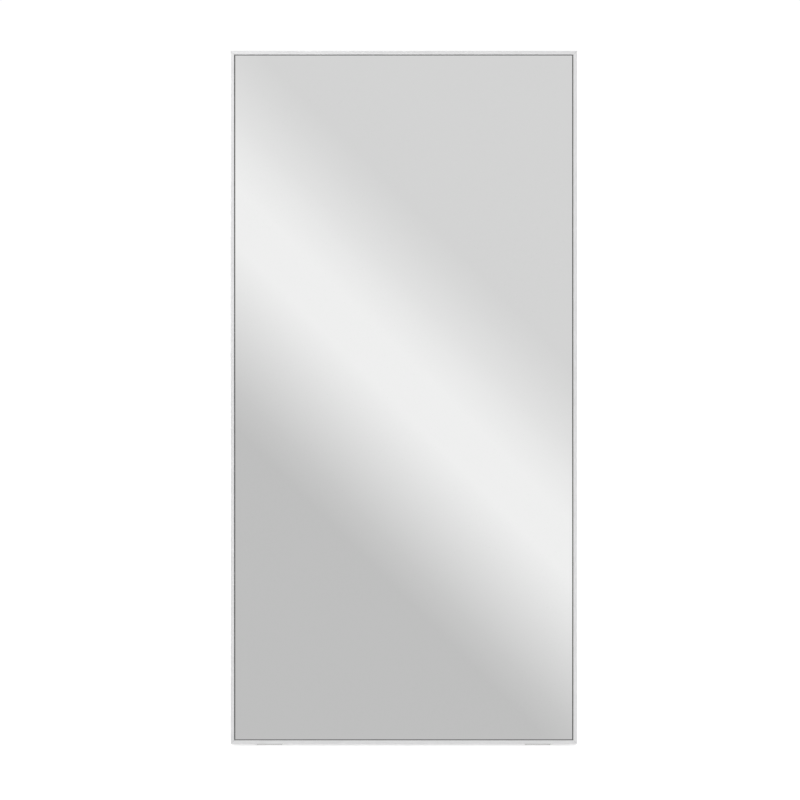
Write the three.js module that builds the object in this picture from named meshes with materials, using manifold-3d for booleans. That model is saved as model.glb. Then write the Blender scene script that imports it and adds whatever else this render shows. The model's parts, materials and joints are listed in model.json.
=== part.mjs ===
// A full-length floor mirror: a slim aluminium frame that leans back on a fold-out steel stand.
//
// Millimetres, +Z up. The mirror faces -Y. The origin is on the floor, at the middle of the
// footprint. The frame's own axes, before it leans, are X to the right, Y from the front face
// backwards, and Z up from the frame's lower edge.

import * as THREE from "three";
import { mergeVertices } from "three/addons/utils/BufferGeometryUtils.js";
import Module from "manifold-3d";

const wasm = await Module();
wasm.setup();

// ---- Driving dimensions, in millimetres and degrees ------------------------------------------

const GAP = 0.3; // between pieces that touch
const ROUND = 24; // facets of a round piece
const SMALL_ROUND = 16; // facets of a screw and its hole

const LEAN = 8; // of the frame from upright
const OPENING = 17; // between the frame and the opened stand

const FRAME = { width: 800, height: 1600, depth: 28 };

// The extrusion that all four rails are sawn from: an E, open towards the middle of the frame.
const RAIL = {
  wall: 1.6, // outer wall, front lip and rear flange
  lip: 8.6, // visible width of the front face
  web: 1.4, // between the glass rebate and the corner-key channel
  webReach: 12, // from the outer face to the web's free edge
  flange: 18, // from the outer face to the rear flange's free edge
  curl: 2, // height of the rear flange's inturned edge
  edge: 0.9, // radius of the outer edges
};

// The layers held in the rebate, front to back.
const LAYERS = { bead: 1, glass: 4, film: 0.3, cushion: 2.5, board: 3 };

const BEAD = { sideSight: 2.2, endSight: 1.5, proud: 2.2, margin: 0.8 };
const GLASS_EDGE = 0.6; // ground chamfer round the pane
const BLOCK = { length: 60, height: 2 }; // rubber setting block under the pane
const SHEET_MARGIN = 1.2; // rail wall to the edge of the cushion and the board
const FILM_MARGIN = 0.8; // pane's edge to the edge of the safety film

const KEY = { leg: 55, screwAt: 30, rest: 2 }; // rest is left uncut before the screws' points
const PAN = { shank: 2, head: 3.8, height: 2.4, recess: 1.3 };
const FLAT = { shank: 1.9, head: 3.8, height: 2.1, recess: 1.1, tail: 5 };
const CROSS = { width: 0.9, length: 4.2 }; // one arm of a cross recess

const FOOT = { length: 60, width: 16, thickness: 2, inset: 90, stem: 2.2, barb: 0.5, barbRise: 2 };

const HANGER = {
  width: 50,
  thickness: 2,
  edge: 1.5, // from the frame's upper face
  inset: 150, // from the frame's side to the plate's middle
  corner: 4,
  screwSpread: 34,
  mouth: 5, // radius of the keyhole's mouth
  slot: 2.6, // half the width of the keyhole's slot
  rise: 9, // from the mouth's middle to the middle of the slot's round end
  land: 3, // below the mouth
  clear: 1, // from the rear flange to the slot
};

const HINGE = {
  height: 1000, // of the pivot above the frame's lower edge
  standoff: 13, // of the pivot above the bracket's base
  base: 2,
  baseMargin: 1.5, // of flange left bare each side of the bracket
  baseLength: 80,
  baseCorner: 3,
  screwSpread: 60,
  cheek: 2,
  cheekFoot: 15, // half the cheek's width where it meets the base
  bolt: 3,
  washer: 0.8,
  washerRadius: 7,
};
const BOLT = { head: 5.5, height: 2.6, socket: 2.3, socketDepth: 1.6, tail: 1.5 };
const NUT = { acrossFlats: 10, height: 4.2, collar: 1.4, collarRadius: 4.4 };
const NUT_PLATE = { length: 78, thickness: 3, tail: 1.2 };

const STAND = {
  tube: 8,
  wall: 1.2,
  bend: 50,
  bendSteps: 8,
  eye: 5, // thickness of the eye's tongue
  eyeWidth: 18,
  eyeCorner: 5,
  heel: 8, // length of the flat that meets the bracket and stops the stand
  neck: 18, // pivot to the eye's collar
  collar: 6,
  spigot: 18,
};
const SHOE = { length: 70, wall: 2.7, corner: 2, fromBend: 10 };

// ---- Sizes that follow -----------------------------------------------------------------------

const lean = THREE.MathUtils.degToRad(LEAN);
const opening = THREE.MathUtils.degToRad(OPENING);

const layerAt = stack(RAIL.wall + GAP, LAYERS);
const webFront = layerAt.end;
const channelFront = webFront + RAIL.web;
const channelBack = FRAME.depth - RAIL.wall;
const channelMiddle = (channelFront + channelBack) / 2;
const keyFront = channelFront + GAP;
const keyThickness = channelBack - GAP - keyFront;
const channelInset = RAIL.wall + GAP; // outer face to what lies in the channel
const channelWidth = RAIL.flange - 2 * channelInset;
const screwLine = RAIL.flange / 2; // outer face to every screw in the rear flange
const glassInset = RAIL.wall + GAP + BLOCK.height + GAP;
const seat = FRAME.depth + GAP; // for what is screwed to the rear flange

const frameLift = FRAME.depth * Math.sin(lean) + FOOT.thickness;
const hingeX = FRAME.width / 2 - screwLine;
const pivotDepth = seat + HINGE.base + HINGE.standoff;
const clevis = STAND.eye + 2 * HINGE.washer + 4 * GAP; // clear width between the cheeks
const eyeHalf = STAND.eyeWidth / 2;
const standSlope = opening - lean; // of the stand's legs from upright
const shoeRadius = STAND.tube + GAP + SHOE.wall;
const pivotRise = frameLift + HINGE.height * Math.cos(lean) - pivotDepth * Math.sin(lean);
const pivotBack = pivotDepth * Math.cos(lean) + HINGE.height * Math.sin(lean);
const standLength = (pivotRise - shoeRadius) / Math.cos(standSlope); // pivot to the foot bar
const tubeStart = STAND.neck + STAND.collar; // pivot to the tube's cut end

// From the frame's upper face down to the keyhole's mouth and the plate's lower edge. The slot
// ends clear of the rear flange.
const mouthLow = RAIL.flange + HANGER.clear + HANGER.slot + HANGER.rise;
const hangerLow = mouthLow + HANGER.mouth + HANGER.land;

// Front face of each layer, and where the last one ends, with a gap after each.
function stack(start, layers) {
  const at = {};
  let depth = start;
  for (const [name, thickness] of Object.entries(layers)) {
    at[name] = depth;
    depth += thickness + GAP;
  }
  at.end = depth;
  return at;
}

// ---- Materials -------------------------------------------------------------------------------

const finish = (color, roughness, metalness = 0) =>
  new THREE.MeshStandardMaterial({ color, roughness, metalness });

const satinAluminium = finish(0xdcdcdc, 0.38, 0.9);
const silvering = finish(0xe6e8e8, 0.02, 1);
const blackVinyl = finish(0x1c1c1e, 0.6);
const filmBacking = finish(0x9aa3a8, 0.45);
const card = finish(0xa98a62, 0.9);
const hardboard = finish(0x8d6b4a, 0.8);
const nylon = finish(0x2b2b2d, 0.55);
const zincSteel = finish(0xb9bcc0, 0.35, 1);
const coatedSteel = finish(0xd8d8d8, 0.4, 0.6);
const greyRubber = finish(0xb4b4b2, 0.8);
const blackRubber = finish(0x26272a, 0.8);

// ---- Working with solids ---------------------------------------------------------------------

const X = new THREE.Vector3(1, 0, 0);
const Y = new THREE.Vector3(0, 1, 0);
const Z = new THREE.Vector3(0, 0, 1);

function toSolid(geometry) {
  const bare = geometry.index ? geometry.toNonIndexed() : geometry.clone();
  bare.deleteAttribute("normal");
  bare.deleteAttribute("uv");
  const merged = mergeVertices(bare, 1e-4);
  const vertProperties = merged.attributes.position.array;
  const triVerts = new Uint32Array(merged.index.array);
  return new wasm.Manifold(new wasm.Mesh({ numProp: 3, vertProperties, triVerts }));
}

function toGeometry(solid) {
  const { vertProperties, triVerts } = solid.getMesh();
  return new THREE.BufferGeometry()
    .setAttribute("position", new THREE.BufferAttribute(vertProperties, 3))
    .setIndex(new THREE.BufferAttribute(triVerts, 1));
}

const join = (first, ...others) =>
  toGeometry(others.reduce((whole, other) => whole.add(toSolid(other)), toSolid(first)));

const cut = (body, ...tools) =>
  toGeometry(tools.reduce((rest, tool) => rest.subtract(toSolid(tool)), toSolid(body)));

const mesh = (name, geometry, material, x = 0, y = 0, z = 0) => {
  const made = new THREE.Mesh(geometry, material);
  made.name = name;
  made.position.set(x, y, z);
  return made;
};

// ---- Outlines and basic shapes ---------------------------------------------------------------

// A closed outline through corners [x, y, radius]. A corner with a radius is rounded off.
function outline(corners) {
  const shape = new THREE.Shape();
  corners.forEach(([x, y, radius = 0], i) => {
    const corner = new THREE.Vector2(x, y);
    const before = new THREE.Vector2(...corners.at(i - 1)).sub(corner).normalize();
    const after = new THREE.Vector2(...corners[(i + 1) % corners.length]).sub(corner).normalize();
    const setback = radius / Math.tan(before.angleTo(after) / 2);
    const from = before.multiplyScalar(setback).add(corner);
    const to = after.multiplyScalar(setback).add(corner);
    if (i === 0) shape.moveTo(from.x, from.y);
    else shape.lineTo(from.x, from.y);
    if (radius) shape.quadraticCurveTo(x, y, to.x, to.y);
  });
  shape.closePath();
  return shape;
}

const rectangle = (width, height, radius = 0) =>
  outline([
    [-width / 2, -height / 2, radius],
    [width / 2, -height / 2, radius],
    [width / 2, height / 2, radius],
    [-width / 2, height / 2, radius],
  ]);

const roundHole = (x, y, radius) => new THREE.Path().absarc(x, y, radius, 0, 2 * Math.PI, true);

const extrude = (shape, depth, curveSegments = SMALL_ROUND / 2) =>
  new THREE.ExtrudeGeometry(shape, { depth, curveSegments, bevelEnabled: false });

// A plate drawn in X and Z, which reaches from y = 0 back to its thickness.
const plate = (shape, thickness, curveSegments) =>
  extrude(shape, thickness, curveSegments).rotateX(Math.PI / 2).translate(0, thickness, 0);

// A plate drawn in Y and Z, centred on x = 0.
const cheekPlate = (shape, thickness, curveSegments) =>
  extrude(shape, thickness, curveSegments)
    .applyMatrix4(new THREE.Matrix4().makeBasis(Y, Z, X))
    .translate(-thickness / 2, 0, 0);

// A body turned about Y, from [radius, y] points that run upwards.
const turned = (points, facets = ROUND) =>
  new THREE.LatheGeometry(
    points.map(([radius, y]) => new THREE.Vector2(radius, y)),
    facets,
  );

const drillY = (radius, x, y, z, depth) =>
  new THREE.CylinderGeometry(radius, radius, depth, SMALL_ROUND).translate(x, y, z);

const drillX = (radius, x, y, z, depth) =>
  new THREE.CylinderGeometry(radius, radius, depth, SMALL_ROUND)
    .rotateZ(Math.PI / 2)
    .translate(x, y, z);

// ---- Screws ----------------------------------------------------------------------------------

// A cross recess cut down from y = top.
const crossRecess = (body, top, depth) =>
  cut(
    body,
    new THREE.BoxGeometry(CROSS.length, 2 * depth, CROSS.width).translate(0, top, 0),
    new THREE.BoxGeometry(CROSS.width, 2 * depth, CROSS.length).translate(0, top, 0),
  );

// A pan-head screw whose head sits on y = 0 and whose shank runs down from it.
function panScrew(length) {
  const shoulder = PAN.height * 0.55;
  const body = turned(
    [
      [0, -length],
      [PAN.shank * 0.55, -length],
      [PAN.shank, -length + PAN.shank * 0.8],
      [PAN.shank, 0],
      [PAN.head, 0],
      [PAN.head, shoulder],
      [PAN.head * 0.82, PAN.height * 0.86],
      [PAN.head * 0.5, PAN.height],
      [0, PAN.height],
    ],
    SMALL_ROUND,
  );
  return crossRecess(body, PAN.height, PAN.recess);
}

// A countersunk screw whose head is flush with y = 0.
function flatScrew(length) {
  const body = turned(
    [
      [0, -length],
      [FLAT.shank * 0.55, -length],
      [FLAT.shank, -length + FLAT.shank * 0.8],
      [FLAT.shank, -FLAT.height],
      [FLAT.head, -GAP / 2],
      [FLAT.head, 0],
      [0, 0],
    ],
    SMALL_ROUND,
  );
  return crossRecess(body, 0, FLAT.recess);
}

// ---- Frame rails, beads and corner keys ------------------------------------------------------
//
// A side is drawn in its own axes: X inwards from the outer face, Y back from the front face,
// and Z along the rail, from the corner where its key sits.

const sides = [
  { rail: "left", corner: "bottom_left", turn: 0, x: -1, z: 0 },
  { rail: "bottom", corner: "bottom_right", turn: -90, x: 1, z: 0 },
  { rail: "right", corner: "top_right", turn: 180, x: 1, z: 1 },
  { rail: "top", corner: "top_left", turn: 90, x: -1, z: 1 },
];

const isUpright = (side) => side.rail === "left" || side.rail === "right";
const railLength = (side) => (isUpright(side) ? FRAME.height : FRAME.width);

// Slides each end of an extrusion along by its distance in from the outer face, as a mitre saw
// does, and leaves half a gap at the joint.
function mitre(geometry, length) {
  const relief = GAP / Math.SQRT2;
  const position = geometry.attributes.position;
  for (let i = 0; i < position.count; i++) {
    const inset = position.getX(i) + relief;
    position.setZ(i, position.getZ(i) < length / 2 ? inset : length - inset);
  }
  return geometry;
}

function railProfile() {
  const { wall, lip, webReach, flange, curl, edge } = RAIL;
  return outline([
    [0, 0, edge],
    [lip, 0, edge / 2],
    [lip, wall],
    [wall, wall],
    [wall, webFront],
    [webReach, webFront],
    [webReach, channelFront],
    [wall, channelFront],
    [wall, channelBack],
    [flange - wall, channelBack],
    [flange - wall, channelBack - curl],
    [flange, channelBack - curl],
    [flange, FRAME.depth, edge / 2],
    [0, FRAME.depth, edge],
  ]);
}

// Middles of a rail's screw holes, as [inset, distance along].
function flangeHoles(side) {
  const length = railLength(side);
  const holes = [
    [screwLine, KEY.screwAt],
    [screwLine, length - KEY.screwAt],
  ];
  if (isUpright(side)) {
    const hinge = side.rail === "left" ? HINGE.height : length - HINGE.height;
    for (const end of [-1, 1]) holes.push([screwLine, hinge + (end * HINGE.screwSpread) / 2]);
  }
  if (side.rail === "top") {
    for (const middle of [HANGER.inset, length - HANGER.inset]) {
      for (const end of [-1, 1]) {
        holes.push([screwLine, middle + (end * HANGER.screwSpread) / 2]);
      }
    }
  }
  return holes;
}

function makeRail(side) {
  const length = railLength(side);
  const bar = mitre(extrude(railProfile(), length, 3), length);
  const drills = flangeHoles(side).map(([inset, along]) =>
    drillY(PAN.shank + GAP, inset, FRAME.depth, along, 4 * RAIL.wall),
  );
  if (side.rail === "bottom") {
    for (const along of [FOOT.inset, length - FOOT.inset]) {
      drills.push(drillX(FOOT.stem + GAP, 0, channelMiddle, along, 4 * RAIL.wall));
    }
  }
  return mesh(`rail_${side.rail}`, cut(bar, ...drills), satinAluminium);
}

// The vinyl bead lies behind the lip, and its rounded nose shows between the lip and the glass.
function makeBead(side) {
  const sight = isUpright(side) ? BEAD.sideSight : BEAD.endSight;
  const back = layerAt.bead + LAYERS.bead;
  const nose = back - BEAD.proud;
  const inset = RAIL.wall + BEAD.margin;
  const profile = outline([
    [inset, layerAt.bead],
    [RAIL.lip + GAP, layerAt.bead],
    [RAIL.lip + GAP, nose, 0.3],
    [RAIL.lip + sight, nose, 0.8],
    [RAIL.lip + sight, back],
    [inset, back],
  ]);
  const length = railLength(side);
  return mesh(`bead_${side.rail}`, mitre(extrude(profile, length, 4), length), blackVinyl);
}

function makeCornerKey(side) {
  const near = channelInset;
  const far = channelInset + channelWidth;
  const shape = outline([
    [near, near, 1],
    [KEY.leg, near, 2],
    [KEY.leg, far, 2],
    [far, far, 1],
    [far, KEY.leg, 2],
    [near, KEY.leg, 2],
  ]);
  shape.holes.push(
    roundHole(screwLine, KEY.screwAt, PAN.shank + GAP),
    roundHole(KEY.screwAt, screwLine, PAN.shank + GAP),
  );
  return mesh(`corner_key_${side.corner}`, plate(shape, keyThickness), nylon, 0, keyFront, 0);
}

function makeSide(side) {
  const group = new THREE.Group();
  group.rotation.y = THREE.MathUtils.degToRad(side.turn);
  group.position.set((side.x * FRAME.width) / 2, 0, side.z * FRAME.height);
  const screw = panScrew(seat - keyFront - KEY.rest);
  group.add(
    makeRail(side),
    makeBead(side),
    makeCornerKey(side),
    mesh(`corner_screw_${side.corner}_1`, screw, zincSteel, screwLine, seat, KEY.screwAt),
    mesh(`corner_screw_${side.corner}_2`, screw, zincSteel, KEY.screwAt, seat, screwLine),
  );
  return group;
}

// ---- Glass and what backs it -----------------------------------------------------------------

const sheet = (inset, thickness) =>
  new THREE.BoxGeometry(FRAME.width - 2 * inset, thickness, FRAME.height - 2 * inset);

function makePane() {
  const width = FRAME.width - 2 * glassInset;
  const height = FRAME.height - 2 * glassInset;
  return new THREE.ExtrudeGeometry(rectangle(width, height), {
    depth: LAYERS.glass - 2 * GLASS_EDGE,
    bevelSize: GLASS_EDGE,
    bevelOffset: -GLASS_EDGE,
    bevelThickness: GLASS_EDGE,
    bevelSegments: 1,
  })
    .rotateX(Math.PI / 2)
    .translate(0, LAYERS.glass - GLASS_EDGE, 0);
}

function makeGlazing() {
  const middle = FRAME.height / 2;
  const filmInset = glassInset + FILM_MARGIN;
  const sheetInset = RAIL.wall + SHEET_MARGIN;
  const centre = (name) => layerAt[name] + LAYERS[name] / 2;
  const pieces = [
    mesh("mirror_pane", makePane(), silvering, 0, layerAt.glass, middle),
    mesh("safety_film", sheet(filmInset, LAYERS.film), filmBacking, 0, centre("film"), middle),
    mesh("cushion_sheet", sheet(sheetInset, LAYERS.cushion), card, 0, centre("cushion"), middle),
    mesh("backing_board", sheet(sheetInset, LAYERS.board), hardboard, 0, centre("board"), middle),
  ];
  // Setting blocks go a quarter of the way in from each end of the pane, as a glazier sets them.
  for (const [name, way] of [["left", -1], ["right", 1]]) {
    const block = new THREE.BoxGeometry(BLOCK.length, LAYERS.glass, BLOCK.height);
    const z = RAIL.wall + GAP + BLOCK.height / 2;
    const x = (way * FRAME.width) / 4;
    pieces.push(mesh(`setting_block_${name}`, block, blackRubber, x, centre("glass"), z));
  }
  return pieces;
}

// ---- Feet, wall hangers and hinge brackets ---------------------------------------------------

// A rubber wedge under the frame. Its sole is level when the frame leans, and its barbed stem
// pushes through the lower rail.
function makeFoot() {
  const sole = (y) => (y * Math.sin(lean) - frameLift) / Math.cos(lean);
  const rear = FRAME.depth;
  const front = rear - FOOT.width;
  const wedge = outline([
    [front, sole(front)],
    [rear, sole(rear)],
    [rear, -GAP],
    [front, -GAP],
  ]);
  const root = sole(rear) / 2; // the stem starts inside the wedge
  const stem = turned(
    [
      [0, root],
      [FOOT.stem, root],
      [FOOT.stem, channelInset],
      [FOOT.stem + FOOT.barb, channelInset],
      [FOOT.stem * 0.8, channelInset + FOOT.barbRise],
      [0, channelInset + FOOT.barbRise],
    ],
    SMALL_ROUND,
  );
  return join(
    cheekPlate(wedge, FOOT.length),
    stem.rotateX(Math.PI / 2).translate(0, channelMiddle, 0),
  );
}

// A steel plate with a keyhole. Its lower half hangs clear of the board, so that a wall screw's
// head has room behind it.
function makeHanger() {
  const { width, thickness, corner, mouth, slot } = HANGER;
  const shape = outline([
    [-width / 2, -hangerLow, corner],
    [width / 2, -hangerLow, corner],
    [width / 2, -HANGER.edge, corner],
    [-width / 2, -HANGER.edge, corner],
  ]);
  const side = Math.asin(slot / mouth); // half the angle that the slot takes of the mouth
  const keyhole = new THREE.Path()
    .absarc(0, -mouthLow, mouth, Math.PI / 2 + side, (5 * Math.PI) / 2 - side, false)
    .absarc(0, HANGER.rise - mouthLow, slot, 0, Math.PI, false);
  keyhole.closePath();
  shape.holes.push(keyhole);
  const drill = FLAT.shank + GAP;
  const sink = turned(
    [
      [0, -thickness],
      [drill, -thickness],
      [drill, thickness - FLAT.height - GAP / 2],
      [FLAT.head + GAP, thickness - GAP],
      [FLAT.head + GAP, 2 * thickness],
      [0, 2 * thickness],
    ],
    SMALL_ROUND,
  );
  const half = HANGER.screwSpread / 2;
  return cut(
    plate(shape, thickness),
    sink.clone().translate(-half, 0, -screwLine),
    sink.clone().translate(half, 0, -screwLine),
  );
}

// A clevis: two cheeks welded to a base plate that has a screw above and below them.
function makeBracket() {
  const { base, cheek, cheekFoot } = HINGE;
  const baseWidth = RAIL.flange - 2 * HINGE.baseMargin;
  const shape = rectangle(baseWidth, HINGE.baseLength, HINGE.baseCorner);
  for (const end of [-1, 1]) {
    shape.holes.push(roundHole(0, (end * HINGE.screwSpread) / 2, PAN.shank + GAP));
  }
  const eyeY = base + HINGE.standoff;
  const footY = base / 2;
  const reach = Math.hypot(eyeY - footY, cheekFoot);
  // Angle, seen from the eye, at which the cheek's straight edge leaves its round end.
  const tangent = Math.PI - Math.atan2(cheekFoot, eyeY - footY) - Math.acos(eyeHalf / reach);
  const profile = new THREE.Shape()
    .moveTo(footY, cheekFoot)
    .lineTo(footY, -cheekFoot)
    .absarc(eyeY, 0, eyeHalf, -tangent, tangent, false);
  profile.closePath();
  profile.holes.push(roundHole(eyeY, 0, HINGE.bolt + GAP));
  const cheekX = (clevis + cheek) / 2;
  return join(
    plate(shape, base),
    cheekPlate(profile, cheek, ROUND / 2).translate(-cheekX, 0, 0),
    cheekPlate(profile, cheek, ROUND / 2).translate(cheekX, 0, 0),
  );
}

// A strip inside the rail that the bracket's screws grip.
function makeNutPlate() {
  const shape = rectangle(channelWidth, NUT_PLATE.length, 1);
  for (const end of [-1, 1]) {
    shape.holes.push(roundHole(0, (end * HINGE.screwSpread) / 2, PAN.shank + GAP));
  }
  return plate(shape, NUT_PLATE.thickness);
}

// A button-head bolt along Y whose head sits on y = 0, with a hexagon socket.
function makeBolt() {
  const grip = clevis + 2 * HINGE.cheek + 2 * GAP;
  const length = grip + NUT.height + NUT.collar + BOLT.tail;
  const body = turned([
    [0, -length],
    [HINGE.bolt - 0.5, -length],
    [HINGE.bolt, -length + 0.5],
    [HINGE.bolt, 0],
    [BOLT.head, 0],
    [BOLT.head, BOLT.height * 0.25],
    [BOLT.head * 0.86, BOLT.height * 0.7],
    [BOLT.head * 0.6, BOLT.height],
    [0, BOLT.height],
  ]);
  const socket = new THREE.CylinderGeometry(BOLT.socket, BOLT.socket, 2 * BOLT.socketDepth, 6);
  return cut(body, socket.translate(0, BOLT.height, 0));
}

// A hexagon lock nut along Y, with its collar at the far end.
function makeNut() {
  const corner = NUT.acrossFlats / 2 / Math.cos(Math.PI / 6);
  const hexagon = new THREE.CylinderGeometry(corner, corner, NUT.height, 6);
  const collar = new THREE.CylinderGeometry(
    NUT.collarRadius * 0.9,
    NUT.collarRadius,
    NUT.collar + 1,
    ROUND,
  );
  return cut(
    join(
      hexagon.translate(0, NUT.height / 2, 0),
      collar.translate(0, NUT.height + (NUT.collar - 1) / 2, 0),
    ),
    new THREE.CylinderGeometry(HINGE.bolt + GAP, HINGE.bolt + GAP, 4 * NUT.height, ROUND),
  );
}

const makeWasher = () =>
  turned([
    [HINGE.bolt + GAP, -HINGE.washer / 2],
    [HINGE.washerRadius, -HINGE.washer / 2],
    [HINGE.washerRadius, HINGE.washer / 2],
    [HINGE.bolt + GAP, HINGE.washer / 2],
    [HINGE.bolt + GAP, -HINGE.washer / 2],
  ]);

// The hinge hardware of one side that stays with the frame. way is 1 on the right, -1 on the left.
function makeHinge(name, way) {
  const x = way * hingeX;
  const z = HINGE.height;
  const outwards = (-way * Math.PI) / 2; // turns Y to point away from the middle
  const boltX = x + way * (clevis / 2 + HINGE.cheek + GAP);
  const nutX = x - way * (clevis / 2 + HINGE.cheek + GAP);
  const washerOff = STAND.eye / 2 + GAP + HINGE.washer / 2;
  const plateFront = channelBack - GAP - NUT_PLATE.thickness;
  const screwSeat = seat + HINGE.base + GAP;
  const screw = panScrew(screwSeat - plateFront + NUT_PLATE.tail);
  const across = (geometry) => geometry.rotateZ(outwards);
  return [
    mesh(`hinge_bracket_${name}`, makeBracket(), zincSteel, x, seat, z),
    mesh(`nut_plate_${name}`, makeNutPlate(), zincSteel, x, plateFront, z),
    mesh(`bracket_screw_${name}_lower`, screw, zincSteel, x, screwSeat, z - HINGE.screwSpread / 2),
    mesh(`bracket_screw_${name}_upper`, screw, zincSteel, x, screwSeat, z + HINGE.screwSpread / 2),
    mesh(`pivot_bolt_${name}`, across(makeBolt()), zincSteel, boltX, pivotDepth, z),
    mesh(`lock_nut_${name}`, across(makeNut().rotateZ(Math.PI)), zincSteel, nutX, pivotDepth, z),
    mesh(`washer_${name}_inner`, across(makeWasher()), nylon, x - way * washerOff, pivotDepth, z),
    mesh(`washer_${name}_outer`, across(makeWasher()), nylon, x + way * washerOff, pivotDepth, z),
  ];
}

function makeHangerSet(name, way) {
  const x = way * (FRAME.width / 2 - HANGER.inset);
  const z = FRAME.height - screwLine;
  const head = seat + HANGER.thickness - GAP / 2;
  const half = HANGER.screwSpread / 2;
  const screw = flatScrew(head - channelBack + FLAT.tail);
  return [
    mesh(`hanger_plate_${name}`, makeHanger(), zincSteel, x, seat, FRAME.height),
    mesh(`hanger_screw_${name}_1`, screw, zincSteel, x - half, head, z),
    mesh(`hanger_screw_${name}_2`, screw, zincSteel, x + half, head, z),
  ];
}

// ---- The stand -------------------------------------------------------------------------------
//
// The stand's own axes have their origin on the hinge line, and Z points up along the legs.

// A path through given points, with one extrusion step for each stretch between them.
class StepPath extends THREE.Curve {
  constructor(points) {
    super();
    this.points = points;
  }

  getPoint(t, target = new THREE.Vector3()) {
    const place = t * (this.points.length - 1);
    const index = Math.min(Math.floor(place), this.points.length - 2);
    return target.lerpVectors(this.points[index], this.points[index + 1], place - index);
  }

  getUtoTmapping(u) {
    return u;
  }
}

// One tube, bent into a U: down the left leg, along the foot bar and up the right leg.
function makeTube() {
  const { tube, wall, bend, bendSteps } = STAND;
  const points = [new THREE.Vector3(-hingeX, 0, -tubeStart)];
  for (const way of [-1, 1]) {
    for (let step = 0; step <= bendSteps; step++) {
      const turn = (step / bendSteps) * (Math.PI / 2);
      const sweep = way < 0 ? turn : Math.PI / 2 - turn;
      const x = way * (hingeX - bend + bend * Math.cos(sweep));
      points.push(new THREE.Vector3(x, 0, bend - standLength - bend * Math.sin(sweep)));
    }
  }
  points.push(new THREE.Vector3(hingeX, 0, -tubeStart));
  const section = new THREE.Shape().absarc(0, 0, tube, 0, 2 * Math.PI, false);
  section.holes.push(roundHole(0, 0, tube - wall));
  return new THREE.ExtrudeGeometry(section, {
    steps: points.length - 1,
    curveSegments: ROUND,
    bevelEnabled: false,
    extrudePath: new StepPath(points),
  });
}

// The welded end of a leg: a tongue with the pivot hole, a collar and a spigot in the tube. The
// tongue's heel is cut so that it lies flat on the bracket's base when the stand is open.
function makeEye() {
  const reach = HINGE.standoff - GAP; // hinge line to the heel
  const heelLow = (reach - eyeHalf * Math.cos(opening)) / Math.sin(opening);
  const heelHigh = heelLow + STAND.heel * Math.cos(opening);
  const root = -STAND.neck - STAND.collar / 2; // the tongue starts inside the collar
  const profile = outline([
    [-eyeHalf, -STAND.neck],
    [-STAND.tube / 2, root],
    [STAND.tube / 2, root],
    [eyeHalf, -STAND.neck],
    [eyeHalf, heelHigh, STAND.eyeCorner],
    [-eyeHalf + STAND.heel * Math.sin(opening), heelHigh],
    [-eyeHalf, heelLow],
  ]);
  profile.holes.push(roundHole(0, 0, HINGE.bolt + GAP));
  const spigot = STAND.tube - STAND.wall - GAP;
  const plug = turned([
    [0, -tubeStart - STAND.spigot],
    [spigot - 1, -tubeStart - STAND.spigot],
    [spigot, -tubeStart - STAND.spigot + 1],
    [spigot, -tubeStart + GAP],
    [STAND.tube, -tubeStart + GAP],
    [STAND.tube, -STAND.neck],
    [0, -STAND.neck],
  ]).rotateX(Math.PI / 2);
  return join(cheekPlate(profile, STAND.eye, ROUND / 2), plug);
}

// A rubber saddle round the foot bar, with a level sole.
function makeShoe() {
  const r = shoeRadius;
  const shape = new THREE.Shape()
    .moveTo(SHOE.corner - r, -r)
    .lineTo(r - SHOE.corner, -r)
    .quadraticCurveTo(r, -r, r, SHOE.corner - r)
    .absarc(0, 0, r, 0, Math.PI, false)
    .lineTo(-r, SHOE.corner - r)
    .quadraticCurveTo(-r, -r, SHOE.corner - r, -r);
  shape.holes.push(roundHole(0, 0, STAND.tube + GAP));
  return cheekPlate(shape, SHOE.length, ROUND / 2);
}

function makeStand() {
  const stand = new THREE.Group();
  stand.position.set(0, pivotBack, pivotRise);
  stand.rotation.x = standSlope;
  stand.add(mesh("stand_tube", makeTube(), coatedSteel));
  const shoeX = hingeX - STAND.bend - SHOE.fromBend - SHOE.length / 2;
  for (const [name, way] of [["left", -1], ["right", 1]]) {
    stand.add(mesh(`stand_eye_${name}`, makeEye(), coatedSteel, way * hingeX));
    const shoe = mesh(`stand_shoe_${name}`, makeShoe(), blackRubber, way * shoeX, 0, -standLength);
    shoe.rotation.x = -standSlope;
    stand.add(shoe);
  }
  return stand;
}

// ---- Assembly --------------------------------------------------------------------------------

function makeMirror() {
  const mirror = new THREE.Group();
  mirror.rotation.x = -lean;
  mirror.position.z = frameLift;
  mirror.add(...sides.map(makeSide), ...makeGlazing());
  for (const [name, way] of [["left", -1], ["right", 1]]) {
    const footX = way * (FRAME.width / 2 - FOOT.inset);
    mirror.add(
      mesh(`foot_pad_${name}`, makeFoot(), greyRubber, footX),
      ...makeHangerSet(name, way),
      ...makeHinge(name, way),
    );
  }
  return mirror;
}

const whole = new THREE.Group();
whole.add(makeMirror(), makeStand());

// Bring the middle of the footprint to the origin.
const footprint = new THREE.Box3().setFromObject(whole, true).getCenter(new THREE.Vector3());
whole.position.y = -footprint.y;

const part = new THREE.Group();
part.add(whole);

export default part;
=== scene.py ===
"""A full-length floor mirror: a slim aluminium frame that leans on a fold-out steel stand.

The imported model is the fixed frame. This script dresses its nodes, replaces the turned, bent and
moulded pieces by finer ones in the same places, and sets up a plain white studio.
"""

from __future__ import annotations

import sys
import json
import logging
import math
import random
from collections.abc import Callable, Sequence
from dataclasses import dataclass, field
from enum import Enum

import bmesh
import bpy
from mathutils import Matrix, Vector


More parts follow.
